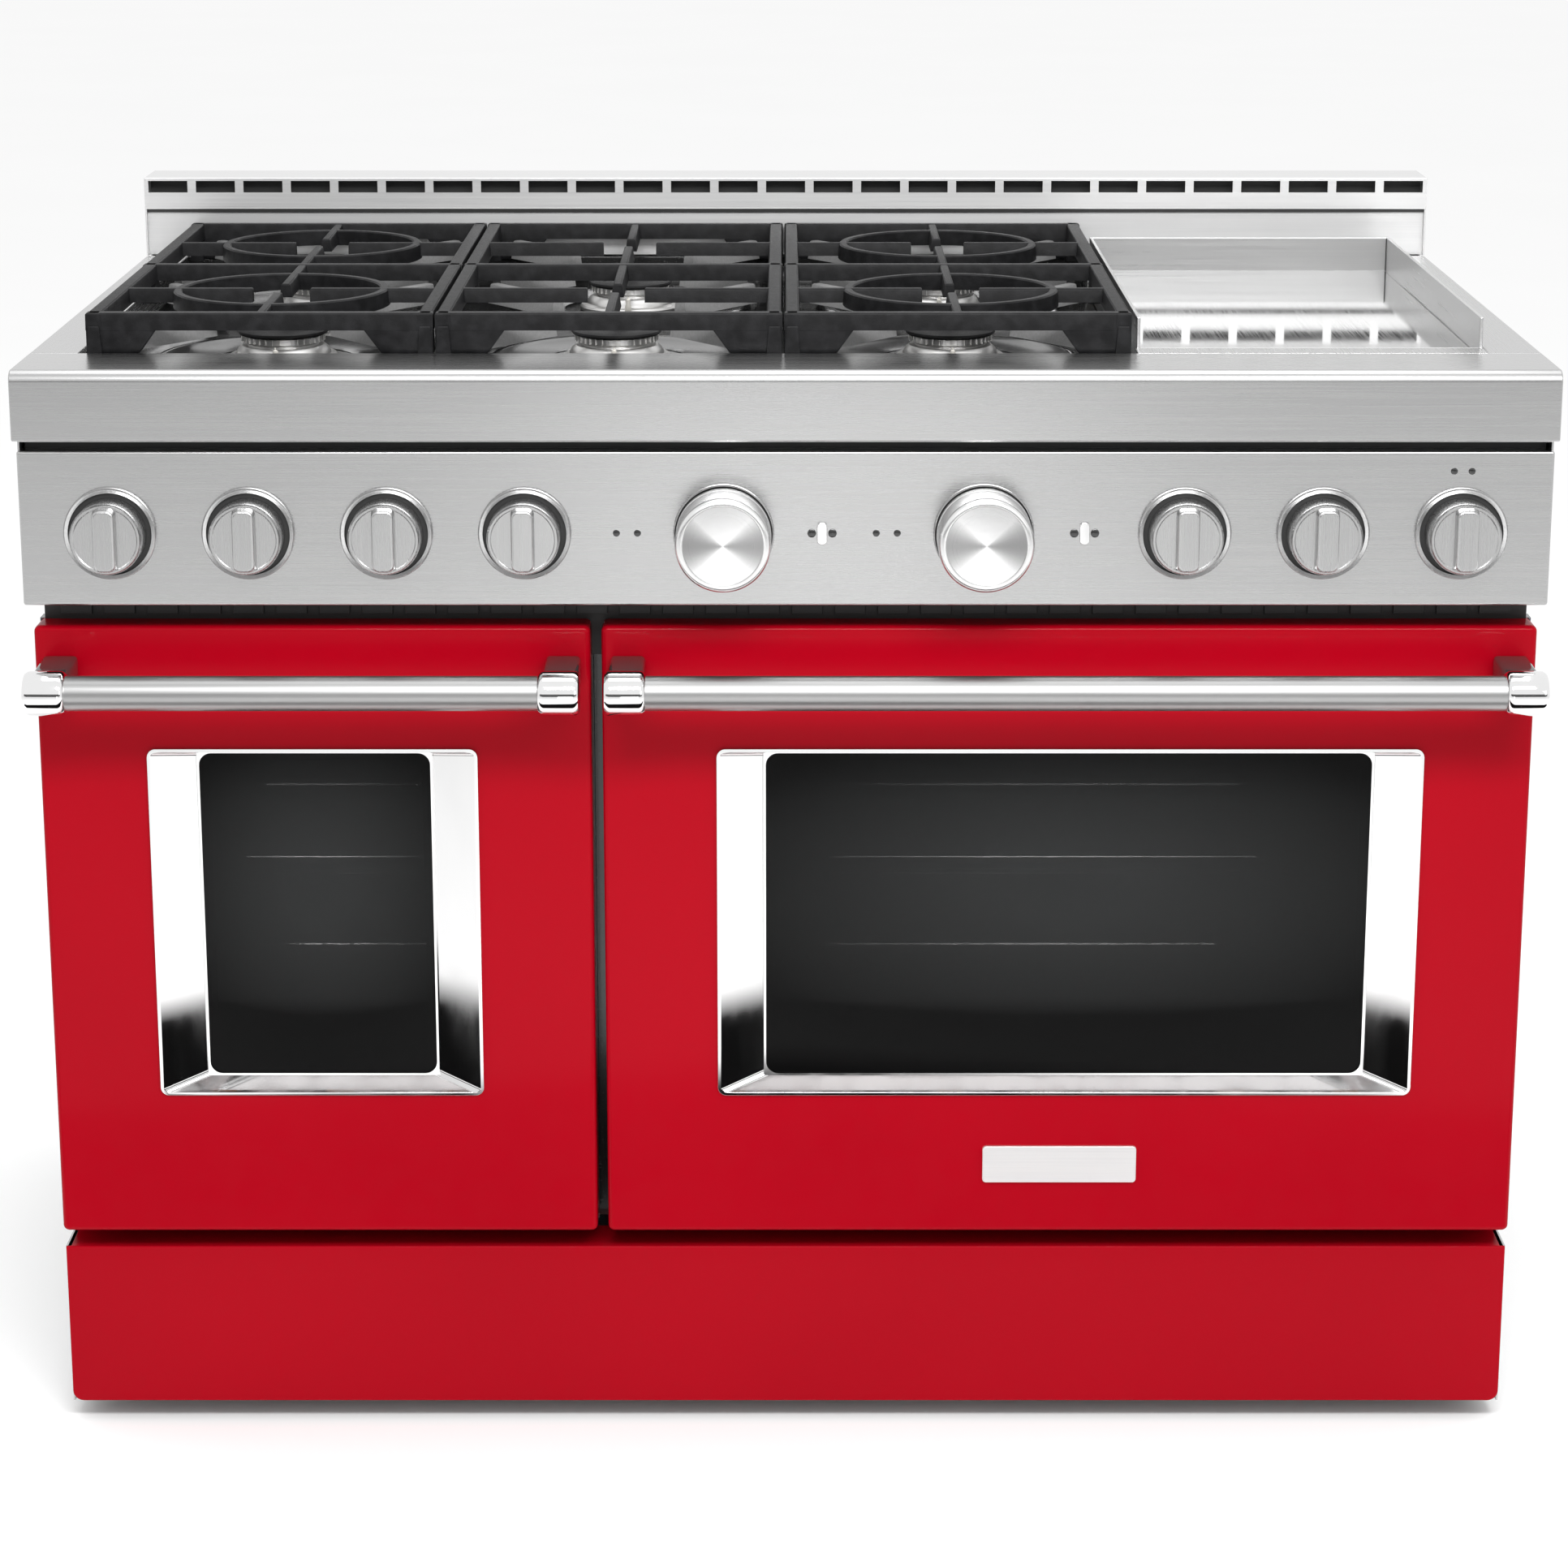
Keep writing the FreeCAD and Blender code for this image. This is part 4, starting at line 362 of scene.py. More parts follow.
def rodInto(bm, start, end, radius, steps=12):
    run = Vector(end) - Vector(start)
    lathe(bm, [(0, 0), (radius, 0), (radius, run.length), (0, run.length)], start,
          run.normalized(), steps)


def meshOf(name, bm):
    mesh = bpy.data.meshes.new(name)
    bm.to_mesh(mesh)
    bm.free()
    return mesh


def place(name, content):
    made = bpy.data.objects.new(name, content)
    scene.collection.objects.link(made)
    return made


def piece(name, bm, material, body, replaces=(), sharp=34, weighted=True):
    bmesh.ops.recalc_face_normals(bm, faces=bm.faces[:])
    for face in bm.faces:
        face.smooth = True
    for edge in bm.edges:
        if edge.is_manifold and edge.calc_face_angle(0) > math.radians(sharp):
            edge.smooth = False
    mesh = meshOf(name, bm)
    mesh.materials.append(material)
    made = place(name, mesh)
    if weighted:
        made.modifiers.new("evenNormals", "WEIGHTED_NORMAL").keep_sharp = True
    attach(made, body)
    if replaces:
        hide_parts(*replaces)


def splitAt(bm, spot, normal):
    bmesh.ops.bisect_plane(bm, geom=bm.verts[:] + bm.edges[:] + bm.faces[:], dist=1e-7,
                           plane_co=spot, plane_no=normal)


def allAt(edge, letter, place):
    # true when both ends of an edge lie at one place along an axis
    return all(abs(vert.co["XYZ".index(letter)] - place) < hair for vert in edge.verts)


def roundPlate(low, high, corner, steps):
    # a plate that faces -Y, with rounded corners and a softened front rim
    bm = bmesh.new()
    made = boxInto(bm, low, high)
    bevel(bm, [edge for edge in edgesOf(made) if alongAxis(edge, "Y")], corner, steps)
    bevel(bm, [edge for edge in bm.edges if allAt(edge, "Y", low.y)], 0.0008, 3)
    return bm


def cutWindow(bm, low, high):
    # opens a rectangular hole along Y and walls it in; gives the wall's corner edges
    for spot, normal in ((low, across), (high, across), (low, up), (high, up)):
        splitAt(bm, spot, normal)
    middle = (low + high) / 2
    doomed = [face for face in bm.faces
              if abs(face.normal.y) > 0.9 and abs(face.calc_center_median().x - middle.x) < 1e-4
              and abs(face.calc_center_median().z - middle.z) < 1e-4]
    rims = list({edge for face in doomed for edge in face.edges})
    bmesh.ops.delete(bm, geom=doomed, context="FACES_ONLY")
    bmesh.ops.bridge_loops(bm, edges=rims)
    return [edge for edge in bm.edges if abs(edge.verts[0].co.y - edge.verts[1].co.y) > hair
            and all(low.x - hair < vert.co.x < high.x + hair
                    and low.z - hair < vert.co.z < high.z + hair for vert in edge.verts)]


def makeLedge():
    # a box with a rounded nose and a fine hem below
    ledge = {"nose": 0.009, "edge": 0.0012, "hem": 0.0015, "inset": 0.004, "set": 0.006}
    low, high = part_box("landing_ledge")
    bm = bmesh.new()
    made = boxInto(bm, low, high)
    nose = [edge for edge in edgesOf(made) if allAt(edge, "Y", low.y) and allAt(edge, "Z", high.z)]
    bevel(bm, nose, ledge["nose"], 10)
    rest = [edge for edge in bm.edges if edge.calc_face_angle(0) > math.radians(60)]
    bevel(bm, rest, ledge["edge"], 3)
    softBox(bm, (low.x + ledge["inset"], low.y + ledge["set"], low.z - ledge["hem"]),
            (high.x - ledge["inset"], high.y, low.z + 0.001), 0.0005, 2)
    piece("landingLedge", bm, steelAcross, "chassis", ["landing_ledge"])


def makeDeck():
    # side ledges, strips around the griddle, and the burner well with a dish at each burner
    deck = {"edge": 0.0015, "strip": 0.0006, "raise": 0.004, "gap": 0.0003, "lap": 0.001,
            "grateGap": 0.006, "skin": 0.0015, "dishOut": 0.105, "dishIn": 0.060,
            "dishRise": 0.004, "lip": 0.006}
    low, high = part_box("cooktop_pan")
    griddleLow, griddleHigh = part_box("griddle_surround")
    left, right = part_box("left_grate")[0].x - deck["grateGap"], griddleLow.x - deck["lap"]
    bm = bmesh.new()
    softBox(bm, (low.x, low.y, low.z + deck["raise"]), (left, high.y, high.z), deck["edge"])
    softBox(bm, (griddleHigh.x + 0.0005, low.y, low.z + deck["raise"]), high, deck["edge"])
    for near, far in ((low.y, griddleLow.y - deck["gap"]), (griddleHigh.y + deck["gap"], high.y)):
        softBox(bm, (right, near, low.z), (griddleHigh.x, far, high.z), deck["strip"], 2)
    piece("cooktopDeck", bm, steelDeep, "chassis", ["cooktop_pan"])
    bm = bmesh.new()
    wallTop = high.z - 0.001
    softBox(bm, (left, low.y, low.z), (right, high.y, low.z + deck["skin"]), 0.0005)
    softBox(bm, (left, low.y, low.z), (right, low.y + deck["skin"], wallTop), 0.0005)
    softBox(bm, (left, high.y - deck["skin"], low.z), (right, high.y, wallTop), 0.0005)
    out, rise, lip = deck["dishOut"], deck["dishRise"], deck["lip"]
    for centre in burnerCentres:
        floor = Vector((centre.x, centre.y, low.z + deck["skin"]))
        lathe(bm, [(deck["dishIn"], 0.0005), (out - 2 * lip, rise * 0.6), (out - lip, rise),
                   (out, rise), (out + lip, 0)], floor, up, 72)
    piece("burnerWell", bm, blackPorcelain, "chassis", weighted=False)


def findBurners():
    # the middles of the six burner caps, from the box around them all
    capRadius = 0.038
    low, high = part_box("burner_caps")
    xs = [low.x + capRadius, (low.x + high.x) / 2, high.x - capRadius]
    ys = [low.y + capRadius, high.y - capRadius]
    return [Vector((x, y, low.z)) for x in xs for y in ys]


def makeBurners():
    # flared base, ported head, domed cap and spark post
    burner = {"base": 0.046, "head": 0.034, "ports": 36, "portHalf": 0.0013, "cap": 0.0378,
              "post": 0.0028, "postGap": 0.006, "shoulder": 0.013, "headLow": 0.0165}
    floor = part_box("burner_bases")[0].z
    capLow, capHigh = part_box("burner_caps")
    postLow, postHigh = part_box("burner_igniters")
    bases, heads, caps, posts = bmesh.new(), bmesh.new(), bmesh.new(), bmesh.new()
    base, head, cap, post = burner["base"], burner["head"], burner["cap"], burner["post"]
    rise, tall, long = capLow.z - floor, capHigh.z - capLow.z, postHigh.z - postLow.z
    for centre in burnerCentres:
        foot = Vector((centre.x, centre.y, floor))
        lathe(bases, [(0, 0.0002), (base, 0.0002), (base, 0.003), (base - 0.0015, 0.0048),
                      (base - 0.006, 0.006), (head + 0.004, 0.010), (head + 0.0005, burner["shoulder"]),
                      (head - 0.003, burner["shoulder"]), (0, burner["shoulder"])], foot, up, 72)
        lathe(heads, [(0, 0.0125), (head - 0.004, 0.0125), (head - 0.004, 0.0145),
                      (head - 0.001, 0.0155), (head, burner["headLow"]), (head, rise - 0.001),
                      (head - 0.001, rise), (0, rise)], foot, up, 72)
        for turn in range(burner["ports"]):
            made = boxInto(heads, (head - 0.0015, -burner["portHalf"], burner["headLow"]),
                           (head + 0.0012, burner["portHalf"], rise - 0.0006))
            spin = Matrix.Rotation(math.tau * turn / burner["ports"], 3, "Z")
            bmesh.ops.rotate(heads, verts=made, cent=(0, 0, 0), matrix=spin)
            bmesh.ops.translate(heads, verts=made, vec=foot)
        lathe(caps, [(0, 0), (cap - 0.003, 0), (cap - 0.0008, 0.0006), (cap, 0.0018),
                     (cap - 0.0008, 0.0032), (cap - 0.004, 0.0042), (cap - 0.012, tall - 0.0004),
                     (0, tall)], centre, up, 72)
        spot = Vector((centre.x, centre.y - base - burner["postGap"], postLow.z))
        lathe(posts, [(0, 0), (post, 0), (post, long * 0.55), (post - 0.0006, long * 0.60),
                      (post - 0.0006, long * 0.86), (0.0006, long * 0.90), (0.0006, long),
                      (0, long)], spot, up, 20)
    for name, bm, material, node, slot in (
            ("burnerBases", bases, aluminium, ["burner_bases"], "aluminium"),
            ("burnerHeads", heads, aluminium, [], "aluminium"),
            ("burnerCaps", caps, iron, ["burner_caps"], "black_cap"),
            ("burnerIgniters", posts, ceramic, ["burner_igniters"], "ceramic")):
        piece(name, bm, material, "chassis", node, weighted=False)


def barInto(bm, start, end, wide, low, high, draft=0.7, edge=0.0016):
    # a drafted bar between two plan points, with its ends square to its run and its top softened
    start, end = Vector((*start, 0)), Vector((*end, 0))
    run = end - start
    made = boxInto(bm, (0, -wide / 2, low), (run.length, wide / 2, high))
    before = set(bm.verts) - set(made)
    for vert in made:
        if vert.co.z > (low + high) / 2:
            vert.co.y *= draft
    top = [side for side in edgesOf(made)
           if all(vert.co.z > (low + high) / 2 for vert in side.verts)]
    bevel(bm, top, edge, 3)
    fresh = [vert for vert in bm.verts if vert not in before]
    turn = Matrix.Rotation(math.atan2(run.y, run.x), 3, "Z")
    bmesh.ops.rotate(bm, verts=fresh, cent=(0, 0, 0), matrix=turn)
    bmesh.ops.translate(bm, verts=fresh, vec=start)


def makeGrate(name, ringed):
    # outer rails on arched feet, cross bars, fingers towards each burner and, on two, a ring
    grate = {"rail": 0.013, "railDraft": 0.85, "finger": 0.0105, "fingerDrop": 0.002,
             "ring": 0.086, "ringWide": 0.009, "stop": 0.024, "archIn": 0.058, "slant": 0.016,
             "strut": 0.014, "tall": 0.014, "foot": 0.012, "footHalf": 0.013,
             "strutOut": 0.112, "strutIn": 0.052}
    node = f"{name}_grate"
    low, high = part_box(node)
    top, foot = high.z, low.z
    under = top - grate["tall"]
    rail, half, stop, draft = grate["rail"], grate["rail"] / 2, grate["stop"], grate["railDraft"]
    bm, struts = bmesh.new(), bmesh.new()
    for x in (low.x + half, high.x - half):
        barInto(bm, (x, low.y), (x, high.y), rail, under, top, draft)
        for y in (low.y + grate["foot"], (low.y + high.y) / 2, high.y - grate["foot"]):
            barInto(bm, (x, y - grate["footHalf"]), (x, y + grate["footHalf"]), rail * 0.96, foot,
                    under + 0.004)
    for y in (low.y + half, high.y - half):
        barInto(bm, (low.x, y), (high.x, y), rail, under, top, draft)
        for x0, x1 in ((low.x, low.x + grate["archIn"]), (high.x - grate["archIn"], high.x)):
            inner, lean = (x1, -grate["slant"]) if x0 == low.x else (x0, grate["slant"])
            made = boxInto(bm, (x0, y - half * 0.94, foot), (x1, y + half * 0.94, under + 0.003))
            for vert in made:
                if abs(vert.co.x - inner) < hair and vert.co.z < under:
                    vert.co.x += lean
            bevel(bm, edgesOf(made), 0.0012, 2)
    middles = sorted({centre.y for centre in burnerCentres})
    divide = (middles[0] + middles[1]) / 2
    barInto(bm, (low.x, divide), (high.x, divide), rail, under, top, draft)
    cx = (low.x + high.x) / 2
    drop = grate["fingerDrop"]
    for cy, near, far in ((middles[0], low.y, divide), (middles[1], divide, high.y)):
        for start, end in (((low.x + drop, cy), (cx - stop, cy)), ((high.x - drop, cy), (cx + stop, cy)),
                           ((cx, near + drop), (cx, cy - stop)), ((cx, far - drop), (cx, cy + stop))):
            barInto(bm, start, end, grate["finger"], under + drop, top - 0.0003)
        for sx in (-1, 1):
            for sy, side in ((-1, near), (1, far)):
                corner = (cx + sx * grate["strutOut"], side - sy * grate["foot"])
                reach = (cx + sx * grate["strutIn"], cy + sy * grate["strutIn"])
                barInto(struts, corner, reach, grate["strut"], foot + 0.001, under - 0.001, 0.6)
        if ringed:
            mean, wide, tall = grate["ring"], grate["ringWide"], grate["tall"]
            lathe(bm, [(mean - wide / 2, -tall), (mean + wide / 2, -tall),
                       (mean + wide * 0.42, -0.0016), (mean + wide * 0.28, -0.0004),
                       (mean - wide * 0.28, -0.0004), (mean - wide * 0.42, -0.0016),
                       (mean - wide / 2, -tall)], (cx, cy, top), up, 96)
    piece(f"{name}GrateStruts", struts, greyIron, f"{node}_body", weighted=False)
    piece(f"{name}Grate", bm, iron, f"{node}_body", [node], weighted=False)


def makeGriddle():
    # polished plate inside folded walls, with an open joint at each rear corner, and a black post in
    # each joint as painted shade
    griddle = {"edge": 0.0008, "seam": 0.0014, "plateEdge": 0.0015}
    low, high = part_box("griddle_surround")
    plateLow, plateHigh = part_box("griddle_plate")
    wall = plateLow.x - low.x
    lap = wall * 0.9
    rear, half = high.y - wall, griddle["seam"] / 2
    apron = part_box("landing_ledge")[1].z
    bm = bmesh.new()
    for x in (low.x, high.x - wall):
        softBox(bm, (x, low.y, low.z), (x + wall, high.y, high.z), griddle["edge"])
    piece("griddleSurround", bm, paleDeep, "chassis", ["griddle_surround"])
    bm = bmesh.new()
    softBox(bm, (low.x + lap, rear, low.z), (high.x - lap, high.y, high.z), griddle["edge"])
    softBox(bm, (low.x + lap, low.y, low.z), (high.x - lap, low.y + wall, apron), griddle["edge"])
    piece("griddleEnds", bm, paleAcross, "chassis")
    # painted shade: a thin black post in each rear joint
    bm = bmesh.new()
    for x in (low.x + wall, high.x - wall):
        softBox(bm, (x - half, rear - half, plateHigh.z), (x + half, rear + half, high.z - 0.001),
                0.0001, 1)
    piece("griddleSeamShade", bm, blackPaint, "chassis")
    bm = bmesh.new()
    softBox(bm, plateLow, plateHigh, griddle["plateEdge"], 4)
    piece("griddlePlate", bm, mirrorSteel, "chassis", ["griddle_plate"])


def makeGuard():
    # slotted upper band over a plain lower face; a black sheet behind the slots and a black strip under
    # the band are painted shade
    guard = {"slots": 27, "web": 0.008, "tall": 0.011, "drop": 0.003, "band": 0.0285,
             "skin": 0.0015, "step": 0.005, "hem": 0.0022, "sheet": 0.002, "end": 0.0018,
             "fold": 0.010, "duct": 0.020}
    low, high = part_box("back_guard")
    bandLow, bandHigh = high.z - guard["band"], high.z - guard["skin"]
    slotHigh = high.z - guard["drop"]
    slotLow = slotHigh - guard["tall"]
    pitch = (high.x - low.x) / guard["slots"]
    slotWide = pitch - guard["web"]
    starts = [(index - (guard["slots"] - 1) / 2) * pitch for index in range(guard["slots"])]
    bm = bmesh.new()  # the slotted band starts as one sheet, cut along every slot's edges
    bmesh.ops.create_grid(bm, x_segments=1, y_segments=1, size=0.5)
    bmesh.ops.rotate(bm, verts=bm.verts[:], cent=(0, 0, 0), matrix=Matrix.Rotation(math.pi / 2, 3, "X"))
    bmesh.ops.scale(bm, vec=(high.x - low.x, 1, bandHigh - bandLow), verts=bm.verts[:])
    bmesh.ops.translate(bm, vec=((low.x + high.x) / 2, low.y, (bandHigh + bandLow) / 2),
                        verts=bm.verts[:])
    for z in (slotLow, slotHigh):
        splitAt(bm, (0, 0, z), up)
    for start in starts:
        for x in (start - slotWide / 2, start + slotWide / 2):
            splitAt(bm, (x, 0, 0), across)
    doomed = []
    for face in bm.faces:
        middle = face.calc_center_median()
        if slotLow < middle.z < slotHigh and any(abs(middle.x - start) < 0.001 for start in starts):
            doomed.append(face)
    bmesh.ops.delete(bm, geom=doomed, context="FACES")
    bmesh.ops.solidify(bm, geom=bm.faces[:], thickness=guard["skin"])
    for vert in bm.verts:  # the sheet's thickness goes behind its face
        if vert.co.y < low.y - hair:
            vert.co.y += 2 * guard["skin"]
    # top hem, lower face set back, fold under the band, back and ends
    lower = low.y + guard["step"]
    softBox(bm, (low.x, low.y, high.z - guard["hem"]), high, 0.001, 4)
    softBox(bm, (low.x, lower, low.z), (high.x, lower + guard["sheet"], bandLow + 0.004), 0.0005)
    softBox(bm, (low.x, low.y, bandLow - 0.0015),
            (high.x, low.y + guard["fold"], bandLow + 0.0005), 0.0006)
    softBox(bm, (low.x, high.y - guard["sheet"], low.z), (high.x, high.y, high.z - 0.001), 0.0006)
    for x in (low.x, high.x - guard["end"]):
        softBox(bm, (x, low.y + 0.0002, low.z), (x + guard["end"], high.y - 0.0002, high.z - 0.0008),
                0.0005)
    piece("backGuard", bm, guardSteel, "chassis", ["back_guard"])
    bm = bmesh.new()
    # painted shade: a black sheet behind the slots
    duct = low.y + guard["duct"]
    softBox(bm, (low.x + 0.003, duct, slotLow - 0.008),
            (high.x - 0.003, duct + guard["sheet"], slotHigh + 0.0005), 0.0004, 2)
    # painted shadow: a black strip under the band's fold
    softBox(bm, (low.x + 0.002, low.y + 0.0015, bandLow - 0.0045),
            (high.x - 0.002, lower + 0.0005, bandLow - 0.0012), 0.0003, 2)
    piece("guardShadeSheets", bm, blackPaint, "chassis")


def makePanel():
    # folded sheet with soft edges, black sheets as painted shade in the gaps above and below it, and
    # louvres over the doors
    panel = {"edge": 0.0022, "deep": 0.020, "gapBack": 0.016, "backing": 0.052, "reach": 0.030,
             "louvres": 34, "margin": 0.015, "share": 0.36, "louvreFront": 0.049,
             "louvreBack": 0.0525, "louvreGap": 0.004}
    low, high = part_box("control_panel")
    ledgeLow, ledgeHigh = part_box("landing_ledge")
    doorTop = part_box("left_door_skin")[1].z
    bm = bmesh.new()
    softBox(bm, low, (high.x, low.y + panel["deep"], high.z), panel["edge"], 4)
    piece("controlPanel", bm, steelAcross, "chassis", ["control_panel"])
    bm = bmesh.new()
    # painted shade: a black sheet in the gap under the ledge
    softBox(bm, (low.x + 0.004, low.y + panel["gapBack"], high.z - 0.002),
            (high.x - 0.004, ledgeHigh.y, ledgeLow.z + 0.004), 0.0005)
    # painted shade: a black sheet behind the louvres
    softBox(bm, (low.x + 0.006, low.y + panel["backing"], doorTop - panel["reach"]),
            (high.x - 0.006, low.y + panel["backing"] + 0.002, low.z + panel["reach"]), 0.0005)
    pitch = (high.x - low.x - 2 * panel["margin"]) / panel["louvres"]
    for index in range(panel["louvres"]):
        x = low.x + panel["margin"] + pitch * (index + 0.5)
        half = pitch * panel["share"]
        softBox(bm, (x - half, low.y + panel["louvreFront"], doorTop + panel["louvreGap"]),
                (x + half, low.y + panel["louvreBack"], low.z - panel["louvreGap"]), 0.0008, 2)
    piece("ventLouvreAndShade", bm, blackPaint, "chassis")


def makeKnobRings():
    # a turned ring around each knob, with a black disc inside it as painted shade in the recess
    rings = {"smallOut": 0.037, "largeOut": 0.040, "smallIn": 0.0328, "largeIn": 0.0383,
             "sink": 0.0030, "floor": 0.0004}
    low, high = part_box("knob_bezels")
    bm, dark = bmesh.new(), bmesh.new()
    deep = high.y - low.y
    for name, centre in knobCentres.items():
        size = "large" if "oven" in name else "small"
        out, inside = rings[f"{size}Out"], rings[f"{size}In"]
        spot = Vector((centre.x, high.y, centre.z))
        lathe(bm, [(out, 0), (out, deep - 0.0018), (out - 0.0006, deep - 0.0006),
                   (out - 0.0012, deep), (inside + 0.0004, deep - 0.0004), (inside, deep - 0.001),
                   (inside, 0)], spot, outward, 80)
        # painted shade: a black disc at the floor of each ring
        wide = inside + 0.0003
        lathe(dark, [(0, rings["floor"]), (wide, rings["floor"]), (wide, deep - rings["sink"]),
                     (0, deep - rings["sink"])], spot, outward, 64)
    piece("knobRings", bm, spunSteel, "chassis", ["knob_bezels"], weighted=False)
    piece("knobRecessShade", dark, blackPaint, "chassis", weighted=False)


def makeSmallKnob(name):
    # a turned skirt with a raised grip across its face
    knob = {"skirt": 0.0288, "face": 0.0272, "gripWide": 0.019, "gripHigh": 0.0525,
            "relief": 0.0075, "gripTop": 0.0004, "sunk": 0.0006, "draftWide": 0.88,
            "draftHigh": 0.93, "gripCorner": 0.0055, "gripEdge": 0.0018}
    low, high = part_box(name)
    centre = knobCentres[name]
    back = Vector((centre.x, high.y, centre.z))
    long = high.y - low.y
    faceAt, top = long - knob["relief"], long - knob["gripTop"]
    skirt, face, sunk = knob["skirt"], knob["face"], knob["sunk"]
    bm = bmesh.new()
    lathe(bm, [(0, 0), (skirt - 0.001, 0), (skirt, 0.001), (skirt, faceAt - 0.0035),
               (skirt - 0.0006, faceAt - 0.0015), (face, faceAt), (face - 0.0016, faceAt),
               (face - 0.0024, faceAt - sunk), (0, faceAt - sunk)], back, outward, 80)
    grip = bmesh.new()
    made = boxInto(grip, (-knob["gripWide"] / 2, -top, -knob["gripHigh"] / 2),
                   (knob["gripWide"] / 2, -(faceAt - 0.002), knob["gripHigh"] / 2))
    for vert in made:  # a little draft towards the front
        if abs(vert.co.y + top) < hair:
            vert.co.x *= knob["draftWide"]
            vert.co.z *= knob["draftHigh"]
    ends = [edge for edge in edgesOf(made) if not (allAt(edge, "Y", -top)
                                                   or allAt(edge, "Y", -(faceAt - 0.002)))]
    bevel(grip, ends, knob["gripCorner"], 6)
    bevel(grip, [edge for edge in grip.edges if allAt(edge, "Y", -top)], knob["gripEdge"], 4)
    bmesh.ops.translate(grip, verts=grip.verts[:], vec=back)
    mesh = meshOf("gripPart", grip)
    bm.from_mesh(mesh)
    bpy.data.meshes.remove(mesh)
    piece(f"{name}Turned", bm, steelUpright, f"{name}_body", [name])


def makeOvenKnob(name):
    # a drum with a groove near its back and a rounded rim around a shallow dome
    knob = {"rim": 0.0378, "face": 0.0318, "dish": 0.0012, "sunk": 0.0020, "steps": 12}
    low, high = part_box(name)
    centre = knobCentres[name]
    back = Vector((centre.x, high.y, centre.z))
    long = high.y - low.y
    rim, face, sunk = knob["rim"], knob["face"], knob["sunk"]
    outline = [(0, 0), (rim - 0.0015, 0), (rim, 0.0012), (rim, 0.008), (rim - 0.0008, 0.0088),
               (rim - 0.0008, 0.0104), (rim, 0.0112), (rim, long - 0.005),
               (rim - 0.0009, long - 0.002), (rim - 0.0028, long - 0.0004), (rim - 0.0044, long),
               (face + 0.0006, long), (face, long - 0.0006), (face, long - sunk)]
    for step in range(1, knob["steps"] + 1):
        part = step / knob["steps"]
        outline.append((face * (1 - part), long - sunk + knob["dish"] * math.sin(part * math.pi / 2)))
    bm = bmesh.new()
    lathe(bm, outline, back, outward, 96)
    piece(f"{name}Turned", bm, spunFaceWithPaintedSheen(name, centre, face), f"{name}_body", [name],
          weighted=False)


def spunFaceWithPaintedSheen(name, centre, face):
    # turned rings in the roughness and relief, with lighter and darker sectors as a painted reflection
    # in the colour
    shade = Shade(f"{name}Spun")
    spot = shade.node("ShaderNodeTexCoord", output="Object")
    away = shade.node("ShaderNodeVectorMath", {"operation": "SUBTRACT"}, {0: spot, 1: tuple(centre)})
    x, z = shade.axis("X", away), shade.axis("Z", away)
    radius = (x * x + z * z) ** 0.5 + 0.0001
    rings = shade.node("ShaderNodeTexNoise", {"noise_dimensions": "1D"},
                       {"W": radius * 3000, "Scale": 1.0, "Detail": 2.0})
    # painted reflection: the left and right sectors of the face are painted darker
    dark = shade.span(abs(x / radius), 0.72, 1.0, 0, 1) * (radius < face)
    return shade.done(color=shade.mix(dark, tone(0.78), tone(0.30)), metal=1.0,
                      rough=rings * 0.1 + 0.2, normal=shade.bump(rings, 0.25, 0.00004))


def makeSigns():
    sign = {"lens": 0.003, "lensTall": 0.0060, "corner": 0.0036, "mark": 0.0034, "aside": 0.0042}
    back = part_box("indicator_lenses")[1].y
    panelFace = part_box("control_panel")[0].y
    lens, tall, mark = sign["lens"], sign["lensTall"], sign["mark"]
    bm = bmesh.new()
    for x, z in lensSpots:
        lathe(bm, [(0, 0), (lens, 0), (lens, tall - 0.0014), (lens - 0.0004, tall - 0.0004),
                   (lens - 0.0016, tall), (0, tall)], (x, back, z), outward, 32)
    piece("indicatorLenses", bm, lensBlack, "chassis", ["indicator_lenses"],
          weighted=False)
    for side in sides:
        low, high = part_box(f"{side}_light_button")
        piece(f"{side}LightButton", roundPlate(low, high, sign["corner"], 8), chrome,
              f"{side}_light_button_body", [f"{side}_light_button"])
        bm = bmesh.new()  # a dark dot on each side of the button
        for x in (low.x - sign["aside"], high.x + sign["aside"]):
            lathe(bm, [(0, 0), (mark, 0), (mark, 0.0006), (mark - 0.0006, 0.0010), (0, 0.0010)],
                  (x, panelFace, (low.z + high.z) / 2), outward, 28)
        piece(f"{side}ButtonMarks", bm, lensBlack, "chassis", weighted=False)


